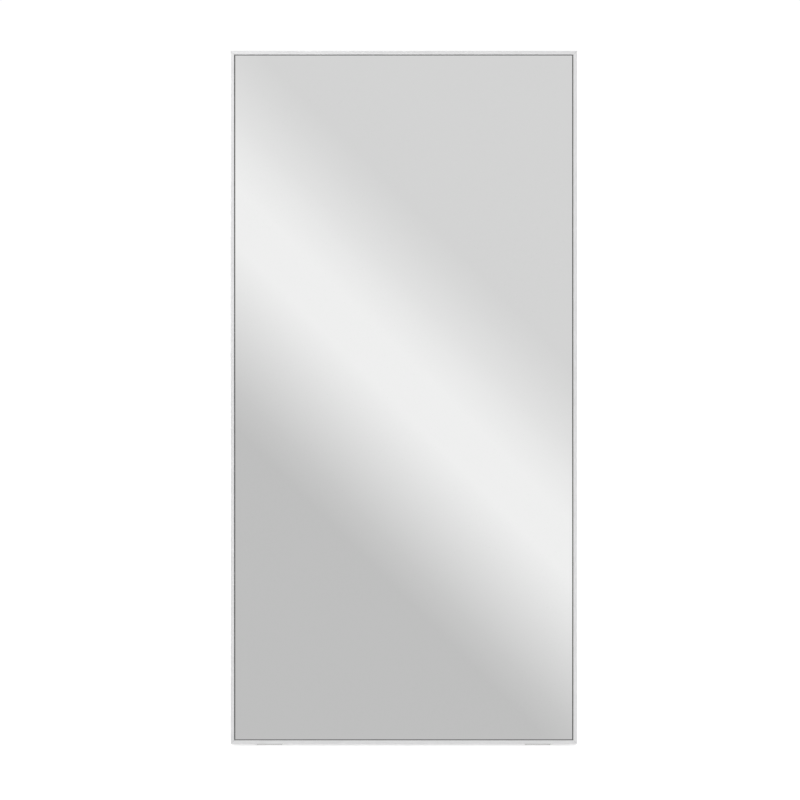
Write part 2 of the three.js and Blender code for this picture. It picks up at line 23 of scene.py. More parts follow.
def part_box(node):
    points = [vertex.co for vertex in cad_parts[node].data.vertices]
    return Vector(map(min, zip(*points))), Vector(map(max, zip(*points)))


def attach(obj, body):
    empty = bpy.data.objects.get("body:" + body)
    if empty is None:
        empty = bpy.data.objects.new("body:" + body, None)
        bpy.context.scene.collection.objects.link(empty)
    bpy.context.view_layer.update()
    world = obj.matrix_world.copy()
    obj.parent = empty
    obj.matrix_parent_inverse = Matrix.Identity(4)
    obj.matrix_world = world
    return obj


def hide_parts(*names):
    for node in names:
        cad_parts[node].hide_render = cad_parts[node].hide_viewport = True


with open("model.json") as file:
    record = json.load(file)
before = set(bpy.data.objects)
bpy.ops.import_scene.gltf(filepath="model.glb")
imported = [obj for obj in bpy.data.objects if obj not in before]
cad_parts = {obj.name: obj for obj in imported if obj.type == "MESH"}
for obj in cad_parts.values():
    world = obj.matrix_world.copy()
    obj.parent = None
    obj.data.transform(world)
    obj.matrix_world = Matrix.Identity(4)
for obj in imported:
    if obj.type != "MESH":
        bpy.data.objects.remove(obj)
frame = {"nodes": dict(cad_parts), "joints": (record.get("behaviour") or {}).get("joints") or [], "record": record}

log = logging.getLogger("floor_mirror")

MM = 0.001
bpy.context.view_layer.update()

MERGE = 1e-6  # metres between vertices that are taken as one
SLIVER = 2e-7  # metres, the most that a sliver left by a cut measures
SMOOTH_BELOW = 32  # degrees between faces that are shaded as one
BEVEL_ABOVE = 30  # degrees between faces whose edge is eased

Point = tuple[float, float]
Loop = list[Point]


class Side(Enum):
    """The two sides of the mirror, each with its way along X."""

    LEFT = -1
    RIGHT = 1

    @property
    def label(self) -> str:
        """The side's word in node names."""
        return self.name.lower()


class Along(Enum):
    """The way that a rail runs, as the stretch of its grain on X, Y and Z."""

    UPRIGHT = (1.0, 1.0, 0.012)
    ACROSS = (0.012, 1.0, 1.0)


RAILS = {
    "left": Along.UPRIGHT,
    "right": Along.UPRIGHT,
    "top": Along.ACROSS,
    "bottom": Along.ACROSS,
}


# ---- Axes and boxes --------------------------------------------------------------------------


@dataclass(frozen=True)
class Box:
    """A box in some axes.

    Args:
        low: its lowest corner, in metres.
        high: its highest corner, in metres.
    """

    low: Vector
    high: Vector

    @property
    def centre(self) -> Vector:
        """The middle of the box."""
        return (self.low + self.high) / 2

    @property
    def size(self) -> Vector:
        """The box's length along each axis."""
        return self.high - self.low


@dataclass(frozen=True)
class Axes:
    """The axes that a sub-assembly is drawn in: the frame's own, turned about X.

    Args:
        origin: where they start, in metres.
        tilt: their turn about X, in radians.
    """

    origin: Vector
    tilt: float

    @property
    def matrix(self) -> Matrix:
        """The matrix that takes a point in these axes to the frame."""
        return Matrix.Translation(self.origin) @ Matrix.Rotation(self.tilt, 4, "X")

    def box(self, node: str) -> Box:
        """The box that holds a CAD node in these axes.

        Args:
            node: the node's name.

        Returns:
            The node's box.
        """
        inverse = self.matrix.inverted()
        points = [inverse @ vertex.co for vertex in frame["nodes"][node].data.vertices]
        low = Vector(tuple(min(p[i] for p in points) for i in range(3)))
        high = Vector(tuple(max(p[i] for p in points) for i in range(3)))
        return Box(low, high)


def mirror_axes() -> Axes:
    """The leaning frame's own axes, from a hanger plate's normal.

    Returns:
        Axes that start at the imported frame's origin.
    """
    mounts = {mount["name"]: mount for mount in frame["record"]["mounts"]}
    normal = mounts["hanger_left"]["axis"]
    return Axes(Vector((0, 0, 0)), -math.atan2(-normal[2], normal[1]))


def stand_axes() -> Axes:
    """The stand's own axes, with Z up along its legs, from the hinge line to the foot bar.

    Returns:
        Axes that start at the middle of the hinge line.
    """
    pivot = Vector(frame["joints"][0]["pos_m"])
    low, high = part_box("stand_shoe_left")
    bar = (low + high) / 2
    return Axes(pivot, math.atan2(bar.y - pivot.y, pivot.z - bar.z))


# ---- Making meshes ---------------------------------------------------------------------------


def mesh_of(bm: bmesh.types.BMesh, name: str) -> bpy.types.Mesh:
    """Turns a bmesh into a mesh with outward faces, and frees it.

    Args:
        bm: the bmesh.
        name: the mesh's name.

    Returns:
        The mesh.
    """
    bmesh.ops.recalc_face_normals(bm, faces=bm.faces)
    mesh = bpy.data.meshes.new(name)
    bm.to_mesh(mesh)
    bm.free()
    return mesh


def baked(piece: bpy.types.Object) -> bpy.types.Mesh:
    """Makes a mesh of what an object's curve or modifiers give.

    Args:
        piece: the object, which is in the scene.

    Returns:
        The mesh.
    """
    bpy.context.view_layer.update()
    depsgraph = bpy.context.evaluated_depsgraph_get()
    return bpy.data.meshes.new_from_object(piece.evaluated_get(depsgraph))


def loft(rings: Sequence[Sequence[Vector]], name: str, ends: bool = True) -> bpy.types.Mesh:
    """Skins a row of closed rings that all have the same number of points.

    Args:
        rings: the rings, in order.
        name: the mesh's name.
        ends: whether the first and the last ring are capped. If not, they are joined.

    Returns:
        The mesh.
    """
    bm = bmesh.new()
    rows = [[bm.verts.new(point) for point in ring] for ring in rings]
    pairs = list(zip(rows, rows[1:]))
    if not ends:
        pairs.append((rows[-1], rows[0]))
    for one, other in pairs:
        count = len(one)
        for i in range(count):
            j = (i + 1) % count
            bm.faces.new((one[i], one[j], other[j], other[i]))
    if ends:
        bm.faces.new(rows[0])
        bm.faces.new(rows[-1])
    return mesh_of(bm, name)


def turned(
    profile: Sequence[Point],
    name: str,
    facets: int = 48,
    ripple: Callable[[float, float], float] | None = None,
) -> bpy.types.Mesh:
    """Turns a profile about Z.

    Args:
        profile: (radius, z) points in metres. It starts and ends on the axis, or is closed.
        name: the mesh's name.
        facets: how many faces go round.
        ripple: what to take off the radius at a height and an angle, for a thread.

    Returns:
        The mesh.
    """
    on_axis = profile[0][0] == 0 and profile[-1][0] == 0
    rings = []
    for radius, z in profile[1:-1] if on_axis else profile:
        ring = []
        for i in range(facets):
            angle = 2 * math.pi * i / facets
            r = radius - (ripple(z, angle) if ripple else 0)
            ring.append(Vector((r * math.cos(angle), r * math.sin(angle), z)))
        rings.append(ring)
    return loft(rings, name, ends=on_axis)


def arc(x: float, y: float, radius: float, start: float, end: float, steps: int) -> Loop:
    """Points on an arc.

    Args:
        x: the centre's first coordinate.
        y: the centre's second coordinate.
        radius: the arc's radius.
        start: the angle of its first point, in degrees.
        end: the angle of its last point, in degrees.
        steps: how many stretches it has.

    Returns:
        The points, both ends included.
    """
    angles = [math.radians(start + (end - start) * i / steps) for i in range(steps + 1)]
    return [(x + radius * math.cos(a), y + radius * math.sin(a)) for a in angles]


def circle(x: float, y: float, radius: float, steps: int = 40) -> Loop:
    """Points on a full circle, without a repeated one."""
    return arc(x, y, radius, 0, 360, steps)[:-1]


def rounded(corners: Sequence[tuple[float, float, float]], steps: int = 6) -> Loop:
    """Rounds off the corners of a polygon.

    Args:
        corners: (x, y, radius) of each corner, in order.
        steps: how many stretches each rounding has.

    Returns:
        The outline's points.
    """
    loop: Loop = []
    count = len(corners)
    for i, (x, y, radius) in enumerate(corners):
        corner = Vector((x, y))
        if radius == 0:
            loop.append((x, y))
            continue
        before = (Vector(corners[i - 1][:2]) - corner).normalized()
        after = (Vector(corners[(i + 1) % count][:2]) - corner).normalized()
        half = before.angle(after) / 2
        centre = corner + (before + after).normalized() * (radius / math.sin(half))
        start = corner + before * (radius / math.tan(half)) - centre
        end = corner + after * (radius / math.tan(half)) - centre
        first = math.atan2(start.y, start.x)
        sweep = (math.atan2(end.y, end.x) - first + math.pi) % (2 * math.pi) - math.pi
        for step in range(steps + 1):
            angle = first + sweep * step / steps
            loop.append((centre.x + radius * math.cos(angle), centre.y + radius * math.sin(angle)))
    return loop


def rectangle(width: float, height: float, radius: float) -> Loop:
    """A rectangle with round corners, about the origin."""
    x, y = width / 2, height / 2
    return rounded([(-x, -y, radius), (x, -y, radius), (x, y, radius), (-x, y, radius)])


def plate(loops: Sequence[Loop], thickness: float, name: str, edge: float) -> bpy.types.Mesh:
    """A flat plate with eased edges, drawn in X and Y, from z = 0 to its thickness.

    Args:
        loops: its outline, then its holes.
        thickness: the plate's thickness.
        name: the mesh's name.
        edge: how much its edges are eased.

    Returns:
        The mesh.
    """
    curve = bpy.data.curves.new(name, "CURVE")
    curve.dimensions = "2D"
    curve.fill_mode = "BOTH"
    curve.extrude = thickness / 2 - edge
    curve.bevel_depth = edge
    curve.bevel_resolution = 2
    curve.offset = -edge
    for loop in loops:
        spline = curve.splines.new("POLY")
        spline.points.add(len(loop) - 1)
        spline.points.foreach_set("co", [v for x, y in loop for v in (x, y, thickness / 2, 1)])
        spline.use_cyclic_u = True
    drawn = bpy.data.objects.new(name, curve)
    bpy.context.scene.collection.objects.link(drawn)
    mesh = baked(drawn)
    bpy.data.objects.remove(drawn)
    bpy.data.curves.remove(curve)
    bm = bmesh.new()
    bm.from_mesh(mesh)
    bpy.data.meshes.remove(mesh)
    bmesh.ops.remove_doubles(bm, verts=bm.verts, dist=MERGE)
    lift = thickness / 2 - sum(v.co.z for v in bm.verts) / len(bm.verts)
    bmesh.ops.translate(bm, verts=bm.verts, vec=(0, 0, lift))
    return mesh_of(bm, name)


def upright(mesh: bpy.types.Mesh, thickness: float) -> bpy.types.Mesh:
    """Stands a plate up: its X stays, its Y becomes Z, and it reaches from y = 0 backwards."""
    mesh.transform(Matrix.Translation((0, thickness, 0)) @ Matrix.Rotation(math.pi / 2, 4, "X"))
    return mesh


def sideways(mesh: bpy.types.Mesh, thickness: float, x: float = 0) -> bpy.types.Mesh:
    """Stands a plate on edge: its X becomes Y, its Y becomes Z, and it is centred on a given x."""
    mesh.transform(Matrix(((0, 0, 1, x - thickness / 2), (1, 0, 0, 0), (0, 1, 0, 0), (0, 0, 0, 1))))
    return mesh


def combine(
    body: bpy.types.Mesh, tools: Sequence[bpy.types.Mesh], operation: str
) -> bpy.types.Mesh:
    """Joins meshes to a body, or cuts them from it.

    Args:
        body: the mesh that stays.
        tools: the meshes that are used up.
        operation: UNION, DIFFERENCE or INTERSECT.

    Returns:
        The new mesh.
    """
    name = body.name
    for tool in tools:
        pair = [bpy.data.objects.new("combine", mesh) for mesh in (body, tool)]
        for one in pair:
            bpy.context.scene.collection.objects.link(one)
        modifier = pair[0].modifiers.new("combine", "BOOLEAN")
        modifier.operation = operation
        modifier.solver = "EXACT"
        modifier.object = pair[1]
        made = baked(pair[0])
        for one in pair:
            bpy.data.objects.remove(one)
        bpy.data.meshes.remove(tool)
        bpy.data.meshes.remove(body)
        body = made
    bm = bmesh.new()
    bm.from_mesh(body)
    bmesh.ops.remove_doubles(bm, verts=bm.verts, dist=SLIVER)
    bmesh.ops.dissolve_degenerate(bm, edges=bm.edges, dist=SLIVER)
    bpy.data.meshes.remove(body)
    return mesh_of(bm, name)


def grooves(
    first: float, pitch: float, count: int, mouth: float, floor: float, depth: float
) -> Loop:
    """The bends of a row of grooves with sloping walls.

    Args:
        first: where the middle of the first groove is.
        pitch: the distance between grooves.
        count: how many there are.
        mouth: half a groove's width at the surface.
        floor: half its width at the bottom.
        depth: its depth.

    Returns:
        (place, depth) of each bend, in order.
    """
    bends = ((-mouth, 0.0), (-floor, depth), (floor, depth), (mouth, 0.0))
    return [(first + i * pitch + step, deep) for i in range(count) for step, deep in bends]


@dataclass(frozen=True)
class Place:
    """Where a new piece goes and what it stands for.

    Args:
        matrix: takes the mesh's own axes to the frame.
        body: the CAD body that it rides on.
        slot: its material slot in the record. It is not used.
        nodes: the CAD nodes that it replaces.
    """

    matrix: Matrix
    body: str
    slot: str
    nodes: tuple[str, ...]


def fit(name: str, mesh: bpy.types.Mesh, material: bpy.types.Material, place: Place) -> None:
    """Puts a new piece in its place. The mesh is copied, so one mesh serves several pieces.

    Args:
        name: the piece's name.
        mesh: its mesh, in its own axes.
        material: its finish.
        place: where it goes.
    """
    own = mesh.copy()
    own.name = name
    own.transform(place.matrix)
    own.materials.clear()
    own.materials.append(material)
    own.shade_smooth()
    own.set_sharp_from_angle(angle=math.radians(SMOOTH_BELOW))
    piece = bpy.data.objects.new(name, own)
    bpy.context.scene.collection.objects.link(piece)
    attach(piece, place.body)
    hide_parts(*place.nodes)
    log.info("%s: %d faces, rides on %s", name, len(own.polygons), place.body)


def dress(node: str, material: bpy.types.Material, ease: float, segments: int = 2) -> None:
    """Gives a CAD node its finish, and eases its edges.

    Args:
        node: the node's name.
        material: its finish.
        ease: the width of the eased edge, in metres.
        segments: how many faces the eased edge has.
    """
    piece = frame["nodes"][node]
    piece.data.materials.clear()
    piece.data.materials.append(material)
    weld = piece.modifiers.new("one_skin", "WELD")
    weld.merge_threshold = MERGE
    bevel = piece.modifiers.new("eased_edges", "BEVEL")
    bevel.width = ease
    bevel.segments = segments
    bevel.limit_method = "ANGLE"
    bevel.angle_limit = math.radians(BEVEL_ABOVE)
    bevel.use_clamp_overlap = True
    bevel.harden_normals = True
    log.info("%s: dressed", node)


# ---- Node trees ------------------------------------------------------------------------------

Value = float | tuple | bpy.types.NodeSocket


@dataclass
class Wiring:
    """A node tree as it is being wired up.

    Args:
        tree: the tree.
    """

    tree: bpy.types.NodeTree

    def give(self, socket: bpy.types.NodeSocket, value: Value) -> None:
        """Gives an input a value, or wires a source to it.

        Args:
            socket: the input.
            value: a constant, or the source.
        """
        if isinstance(value, bpy.types.NodeSocket):
            self.tree.links.new(value, socket)
        else:
            socket.default_value = value

    def node(
        self, kind: str, inputs: dict[str | int, Value] | None = None, **options: object
    ) -> bpy.types.Node:
        """Adds a node.

        Args:
            kind: the node's type, without its ShaderNode prefix.
            inputs: a value or a socket for each named or numbered input.
            options: the node's own settings.

        Returns:
            The node.
        """
        node = self.tree.nodes.new("ShaderNode" + kind)
        for option, value in options.items():
            setattr(node, option, value)
        for key, value in (inputs or {}).items():
            self.give(node.inputs[key], value)
        return node

    def maths(self, operation: str, *values: Value, clamp: bool = False) -> bpy.types.NodeSocket:
        """Adds a Math node and returns its result."""
        inputs = dict(enumerate(values))
        return self.node("Math", inputs, operation=operation, use_clamp=clamp).outputs[0]

    def scaled(self, value: Value, by: Value, plus: Value) -> bpy.types.NodeSocket:
        """Multiplies a value, adds another to it and returns the result."""
        return self.maths("MULTIPLY_ADD", value, by, plus)

    def weighed(
        self, one: Value, share: float, other: Value, rest: float, clamp: bool = False
    ) -> bpy.types.NodeSocket:
        """Adds two values, each at its own weight, and returns the sum."""
        return self.maths("MULTIPLY_ADD", one, share, self.maths("MULTIPLY", other, rest), clamp=clamp)

    def vector(self, operation: str, *values: Value, scalar: bool = False) -> bpy.types.NodeSocket:
        """Adds a Vector Math node and returns its vector, or its value."""
        node = self.node("VectorMath", dict(enumerate(values)), operation=operation)
        return node.outputs["Value" if scalar else "Vector"]

    def levelled(self, vector: Value, tilt: float) -> bpy.types.NodeSocket:
        """Turns a vector into axes that are tilted about X, and returns it."""
        inputs = {"Vector": vector, "Angle": -tilt}
        return self.node("VectorRotate", inputs, rotation_type="X_AXIS").outputs[0]

    def span(self, value: Value, low: float, high: float) -> bpy.types.NodeSocket:
        """Maps a value from low..high to 0..1, smoothly, and returns the result."""
        inputs = {"Value": value, "From Min": low, "From Max": high, "To Min": 0, "To Max": 1}
        return self.node("MapRange", inputs, interpolation_type="SMOOTHSTEP").outputs["Result"]

    def noise(
        self, vector: Value, scale: Value, detail: float, roughness: float
    ) -> bpy.types.NodeSocket:
        """Adds a Noise texture and returns its value."""
        inputs = {"Vector": vector, "Scale": scale, "Detail": detail, "Roughness": roughness}
        return self.node("TexNoise", inputs).outputs["Fac"]

    def blend(self, share: Value, one: Value, other: Value) -> bpy.types.NodeSocket:
        """Mixes two colours.

        Args:
            share: how much of the other colour shows.
            one: a colour, or a source of one.
            other: another.

        Returns:
            The mixed colour.
        """
        mix = self.node("Mix", {0: share}, data_type="RGBA")
        for index, value in ((6, one), (7, other)):
            self.give(mix.inputs[index], (*value, 1) if isinstance(value, tuple) else value)
        return mix.outputs[2]


class Effect(Enum):
    """The effects that several finishes share, each a node group that is built once."""

    EDGE_WEAR = "edge_wear"
    GRAIN = "drawn_grain"
    MOTTLE = "mottle"
    DUST = "settled_dust"
    SKIN = "moulded_skin"


class Effects:
    """Builds the shared effects and puts them into materials."""

    def __init__(self) -> None:
        """Starts with no group built."""
        self.built: dict[Effect, bpy.types.NodeTree] = {}

    def group(self, effect: Effect) -> bpy.types.NodeTree:
        """Finds an effect's node group, which is built at its first use.

        Args:
            effect: the effect.

        Returns:
            Its node group.
        """
        if effect not in self.built:
            self.built[effect] = getattr(self, "make_" + effect.value)()
        return self.built[effect]

    def use(self, wiring: Wiring, effect: Effect, **inputs: Value) -> bpy.types.NodeSocket:
        """Places an effect in a material.

        Args:
            wiring: the material's tree.
            effect: the effect.
            inputs: its inputs, by name.

        Returns:
            The effect's output.
        """
        node = wiring.tree.nodes.new("ShaderNodeGroup")
        node.node_tree = self.group(effect)
        for key, value in inputs.items():
            wiring.give(node.inputs[key], value)
        return node.outputs[0]

    @staticmethod
    def start(name: str, numbers: dict[str, float], output: str) -> tuple[Wiring, bpy.types.Node]:
        """Begins a node group with a Vector input, some numbers and one output.

        Args:
            name: the group's name.
            numbers: the default of each number input.
            output: the output's name.

        Returns:
            The group's wiring, and its input node.
        """
        tree = bpy.data.node_groups.new(name, "ShaderNodeTree")
        tree.interface.new_socket("Vector", in_out="INPUT", socket_type="NodeSocketVector")
        for number, default in numbers.items():
            socket = tree.interface.new_socket(number, in_out="INPUT", socket_type="NodeSocketFloat")
            socket.default_value = default
        tree.interface.new_socket(output, in_out="OUTPUT", socket_type="NodeSocketFloat")
        return Wiring(tree), tree.nodes.new("NodeGroupInput")

    @staticmethod
    def end(wiring: Wiring, result: bpy.types.NodeSocket) -> bpy.types.NodeTree:
        """Finishes a node group.

        Args:
            wiring: the group's wiring.
            result: what the group puts out.

        Returns:
            The group.
        """
        out = wiring.tree.nodes.new("NodeGroupOutput")
        wiring.tree.links.new(result, out.inputs[0])
        return wiring.tree

    def make_edge_wear(self) -> bpy.types.NodeTree:
        """Builds a mask that is 1 on rubbed edges, broken up by noise.

        Returns:
            The node group.
        """
        w, given = self.start("edge_wear", {"Width": 0.0006, "Amount": 0.5}, "Mask")
        bevel = w.node("Bevel", {"Radius": given.outputs["Width"]}, samples=4)
        normal = w.node("NewGeometry").outputs["Normal"]
        facing = w.vector("DOT_PRODUCT", bevel.outputs["Normal"], normal, scalar=True)
        edge = w.span(facing, low=0.995, high=0.9)
        patches = w.noise(given.outputs["Vector"], scale=260, detail=4, roughness=0.6)
        broken = w.span(patches, low=0.35, high=0.65)
        rubbed = w.maths("MULTIPLY", edge, w.scaled(broken, by=0.7, plus=0.3))
        return self.end(w, w.maths("MULTIPLY", rubbed, given.outputs["Amount"], clamp=True))

    def make_drawn_grain(self) -> bpy.types.NodeTree:
        """Builds long fine lines, for a vector that is already squeezed along them.

        Returns:
            The node group.
        """
        w, given = self.start("drawn_grain", {"Fineness": 2500}, "Value")
        fineness = given.outputs["Fineness"]
        fine = w.noise(given.outputs["Vector"], fineness, detail=3, roughness=0.6)
        wide_scale = w.maths("MULTIPLY", fineness, 0.17)
        wide = w.noise(given.outputs["Vector"], wide_scale, detail=2, roughness=0.5)
        both = w.weighed(fine, share=0.6, other=wide, rest=0.4)
        return self.end(w, w.span(both, low=0.3, high=0.7))

    def make_mottle(self) -> bpy.types.NodeTree:
        """Builds soft patches, as handling and coating leave them.

        Returns:
            The node group.
        """
        w, given = self.start("mottle", {"Scale": 20}, "Value")
        place, scale = given.outputs["Vector"], given.outputs["Scale"]
        shifted = w.node("VectorMath", {0: place, "Scale": 1.7}, operation="SCALE").outputs["Vector"]
        patches = w.noise(place, scale, detail=4, roughness=0.55)
        finer = w.noise(shifted, w.maths("MULTIPLY", scale, 6), detail=3, roughness=0.6)
        both = w.weighed(patches, share=0.65, other=finer, rest=0.35)
        return self.end(w, w.span(both, low=0.32, high=0.68))

    def make_settled_dust(self) -> bpy.types.NodeTree:
        """Builds a mask of dust that has settled on what faces up.

        Returns:
            The node group.
        """
        w, given = self.start("settled_dust", {"Amount": 0.3}, "Mask")
        normal = w.node("NewGeometry").outputs["Normal"]
        up = w.node("SeparateXYZ", {0: normal}).outputs["Z"]
        facing = w.span(up, low=0.45, high=0.98)
        scatter = w.noise(given.outputs["Vector"], scale=900, detail=5, roughness=0.7)
        specks = w.span(scatter, low=0.38, high=0.75)
        lying = w.maths("MULTIPLY", facing, w.scaled(specks, by=0.75, plus=0.25))
        return self.end(w, w.maths("MULTIPLY", lying, given.outputs["Amount"], clamp=True))

    def make_moulded_skin(self) -> bpy.types.NodeTree:
        """Builds the height of a fine leathery texture, as moulds and powder coating leave it.

        Returns:
            The node group.
        """
        w, given = self.start("moulded_skin", {"Scale": 700}, "Value")
        place, scale = given.outputs["Vector"], given.outputs["Scale"]
        inputs = {"Vector": place, "Scale": scale}
        cells = w.node("TexVoronoi", inputs, feature="SMOOTH_F1").outputs["Distance"]
        fine_scale = w.maths("MULTIPLY", scale, 2.3)
        fine = w.noise(place, fine_scale, detail=2, roughness=0.5)
        return self.end(w, w.weighed(cells, share=0.7, other=fine, rest=0.5))


# ---- Finishes --------------------------------------------------------------------------------

Colour = tuple[float, float, float]


@dataclass(frozen=True)
class Finish:
    """What every finish shares.

    Args:
        effects: the shared effects.
        name: the material's name.
    """

    effects: Effects
    name: str

    def begin(self, **sockets: Value) -> tuple[Wiring, bpy.types.Node, bpy.types.NodeSocket]:
        """Starts a material.

        Args:
            sockets: constant values for the Principled node, with _ for a space in a name.

        Returns:
            The material's wiring, its Principled node and its object coordinates.
        """
        material = bpy.data.materials.new(self.name)
        material.use_nodes = True
        material.node_tree.nodes.clear()
        w = Wiring(material.node_tree)
        shader = w.node("BsdfPrincipled")
        for key, value in sockets.items():
            shader.inputs[key.replace("_", " ")].default_value = value
        out = w.node("OutputMaterial")
        w.tree.links.new(shader.outputs[0], out.inputs["Surface"])
        return w, shader, w.node("TexCoord").outputs["Object"]

    @staticmethod
    def relief(
        w: Wiring, shader: bpy.types.Node, height: Value, distance: float, strength: float
    ) -> None:
        """Bumps the surface: the height runs from 0 to 1, and 1 is as high as the distance."""
        inputs = {"Height": height, "Distance": distance, "Strength": strength}
        w.tree.links.new(w.node("Bump", inputs).outputs[0], shader.inputs["Normal"])

    @staticmethod
    def feed(w: Wiring, shader: bpy.types.Node, **sources: bpy.types.NodeSocket) -> None:
        """Wires sources to the Principled node's inputs, with _ for a space in a name."""
        for key, source in sources.items():
            w.tree.links.new(source, shader.inputs[key.replace("_", " ")])

    def material(self) -> bpy.types.Material:
        """The finished material."""
        return bpy.data.materials[self.name]


@dataclass(frozen=True)
class SatinAluminium(Finish):
    """Anodised extrusion, with die lines along its length.

    Args:
        along: which way the extrusion runs.
        tilt: the turn of its axes about X, in radians.
        light: the colour between the lines.
        dark: the colour of the lines.
        rubbed: the colour of its edges.
        dusty: the colour of the dust on it.
    """

    along: Along = Along.UPRIGHT
    tilt: float = 0
    light: Colour = (0.95, 0.95, 0.955)
    dark: Colour = (0.88, 0.88, 0.885)
    rubbed: Colour = (0.95, 0.95, 0.95)
    dusty: Colour = (0.62, 0.61, 0.59)

    def build(self) -> bpy.types.Material:
        """Builds the material.

        Returns:
            The material.
        """
        w, shader, place = self.begin(Metallic=1.0)
        squeezed = w.vector("MULTIPLY", w.levelled(place, self.tilt), self.along.value)
        grain = self.effects.use(w, Effect.GRAIN, Vector=squeezed, Fineness=2600.0)
        mottle = self.effects.use(w, Effect.MOTTLE, Vector=place, Scale=14.0)
        wear = self.effects.use(w, Effect.EDGE_WEAR, Vector=place, Width=0.0007, Amount=0.6)
        dust = self.effects.use(w, Effect.DUST, Vector=place, Amount=0.25)
        drawn = w.blend(grain, self.dark, self.light)
        worn = w.blend(wear, drawn, self.rubbed)
        rough = w.scaled(grain, by=0.09, plus=w.scaled(mottle, by=0.05, plus=0.29))
        self.feed(
            w,
            shader,
            Base_Color=w.blend(dust, worn, self.dusty),
            Roughness=w.maths("ADD", rough, w.maths("MULTIPLY", dust, 0.3)),
            Metallic=w.maths("SUBTRACT", 1.0, dust),
        )
        self.relief(w, shader, grain, distance=0.00002, strength=0.35)
        return self.material()


@dataclass(frozen=True)
class SilveredGlass(Finish):
    """The pane: silver behind clear float glass, with painted back and ground edges.

    Args:
        tilt: the turn of the pane's axes about X, in radians.
        silver: the silver, seen through the glass.
        hazy: the silver where the glass is smudged.
        ground: the ground edges.
        worn: their paler patches.
        paint: the paint on the back.
        faded: its paler patches.
        facing: the least share of a face's normal that points forwards or backwards.
        square: the share from which it counts in full.
    """

    tilt: float = 0
    silver: Colour = (0.897, 0.899, 0.897)
    hazy: Colour = (0.887, 0.889, 0.887)
    ground: Colour = (0.30, 0.40, 0.36)
    worn: Colour = (0.36, 0.46, 0.42)
    paint: Colour = (0.24, 0.27, 0.27)
    faded: Colour = (0.28, 0.31, 0.31)
    facing: float = 0.9
    square: float = 0.97

    def build(self) -> bpy.types.Material:
        """Builds the material.

        Returns:
            The material.
        """
        w, shader, place = self.begin(IOR=1.52)
        normal = w.node("NewGeometry").outputs["Normal"]
        way = w.node("SeparateXYZ", {0: w.levelled(normal, self.tilt)}).outputs["Y"]
        front = w.span(way, -self.facing, -self.square)
        back = w.span(way, self.facing, self.square)
        smudge = self.effects.use(w, Effect.MOTTLE, Vector=place, Scale=5.0)
        dust = self.effects.use(w, Effect.MOTTLE, Vector=place, Scale=160.0)
        haze = w.maths("MULTIPLY", smudge, dust)
        edge = w.blend(dust, self.ground, self.worn)
        backed = w.blend(back, edge, w.blend(smudge, self.paint, self.faded))
        silvered = w.blend(haze, self.silver, self.hazy)
        polish = w.scaled(haze, by=0.014, plus=0.004)
        self.feed(
            w,
            shader,
            Base_Color=w.blend(front, backed, silvered),
            Metallic=front,
            Roughness=w.scaled(w.maths("SUBTRACT", 1.0, front), by=0.45, plus=polish),
        )
        return self.material()


@dataclass(frozen=True)
class BareSteel(Finish):
    """Zinc-plated steel.

    Args:
        light: the plating's lighter patches.
        dark: its darker patches.
        rough: its least roughness.
        rubbed: the colour of its edges.
        dusty: the colour of the dust on it.
    """

    light: Colour = (0.68, 0.69, 0.71)
    dark: Colour = (0.5, 0.51, 0.53)
    rough: float = 0.24
    rubbed: Colour = (0.78, 0.78, 0.78)
    dusty: Colour = (0.55, 0.53, 0.5)

    def build(self) -> bpy.types.Material:
        """Builds the material.

        Returns:
            The material.
        """
        w, shader, place = self.begin(Metallic=1.0)
        patches = self.effects.use(w, Effect.MOTTLE, Vector=place, Scale=90.0)
        skin = self.effects.use(w, Effect.SKIN, Vector=place, Scale=1800.0)
        wear = self.effects.use(w, Effect.EDGE_WEAR, Vector=place, Width=0.0005, Amount=0.8)
        dust = self.effects.use(w, Effect.DUST, Vector=place, Amount=0.3)
        plated = w.blend(wear, w.blend(patches, self.dark, self.light), self.rubbed)
        self.feed(
            w,
            shader,
            Base_Color=w.blend(dust, plated, self.dusty),
            Roughness=w.scaled(patches, by=0.16, plus=self.rough),
            Metallic=w.maths("SUBTRACT", 1.0, dust),
        )
        self.relief(w, shader, skin, distance=0.00003, strength=0.25)
        return self.material()


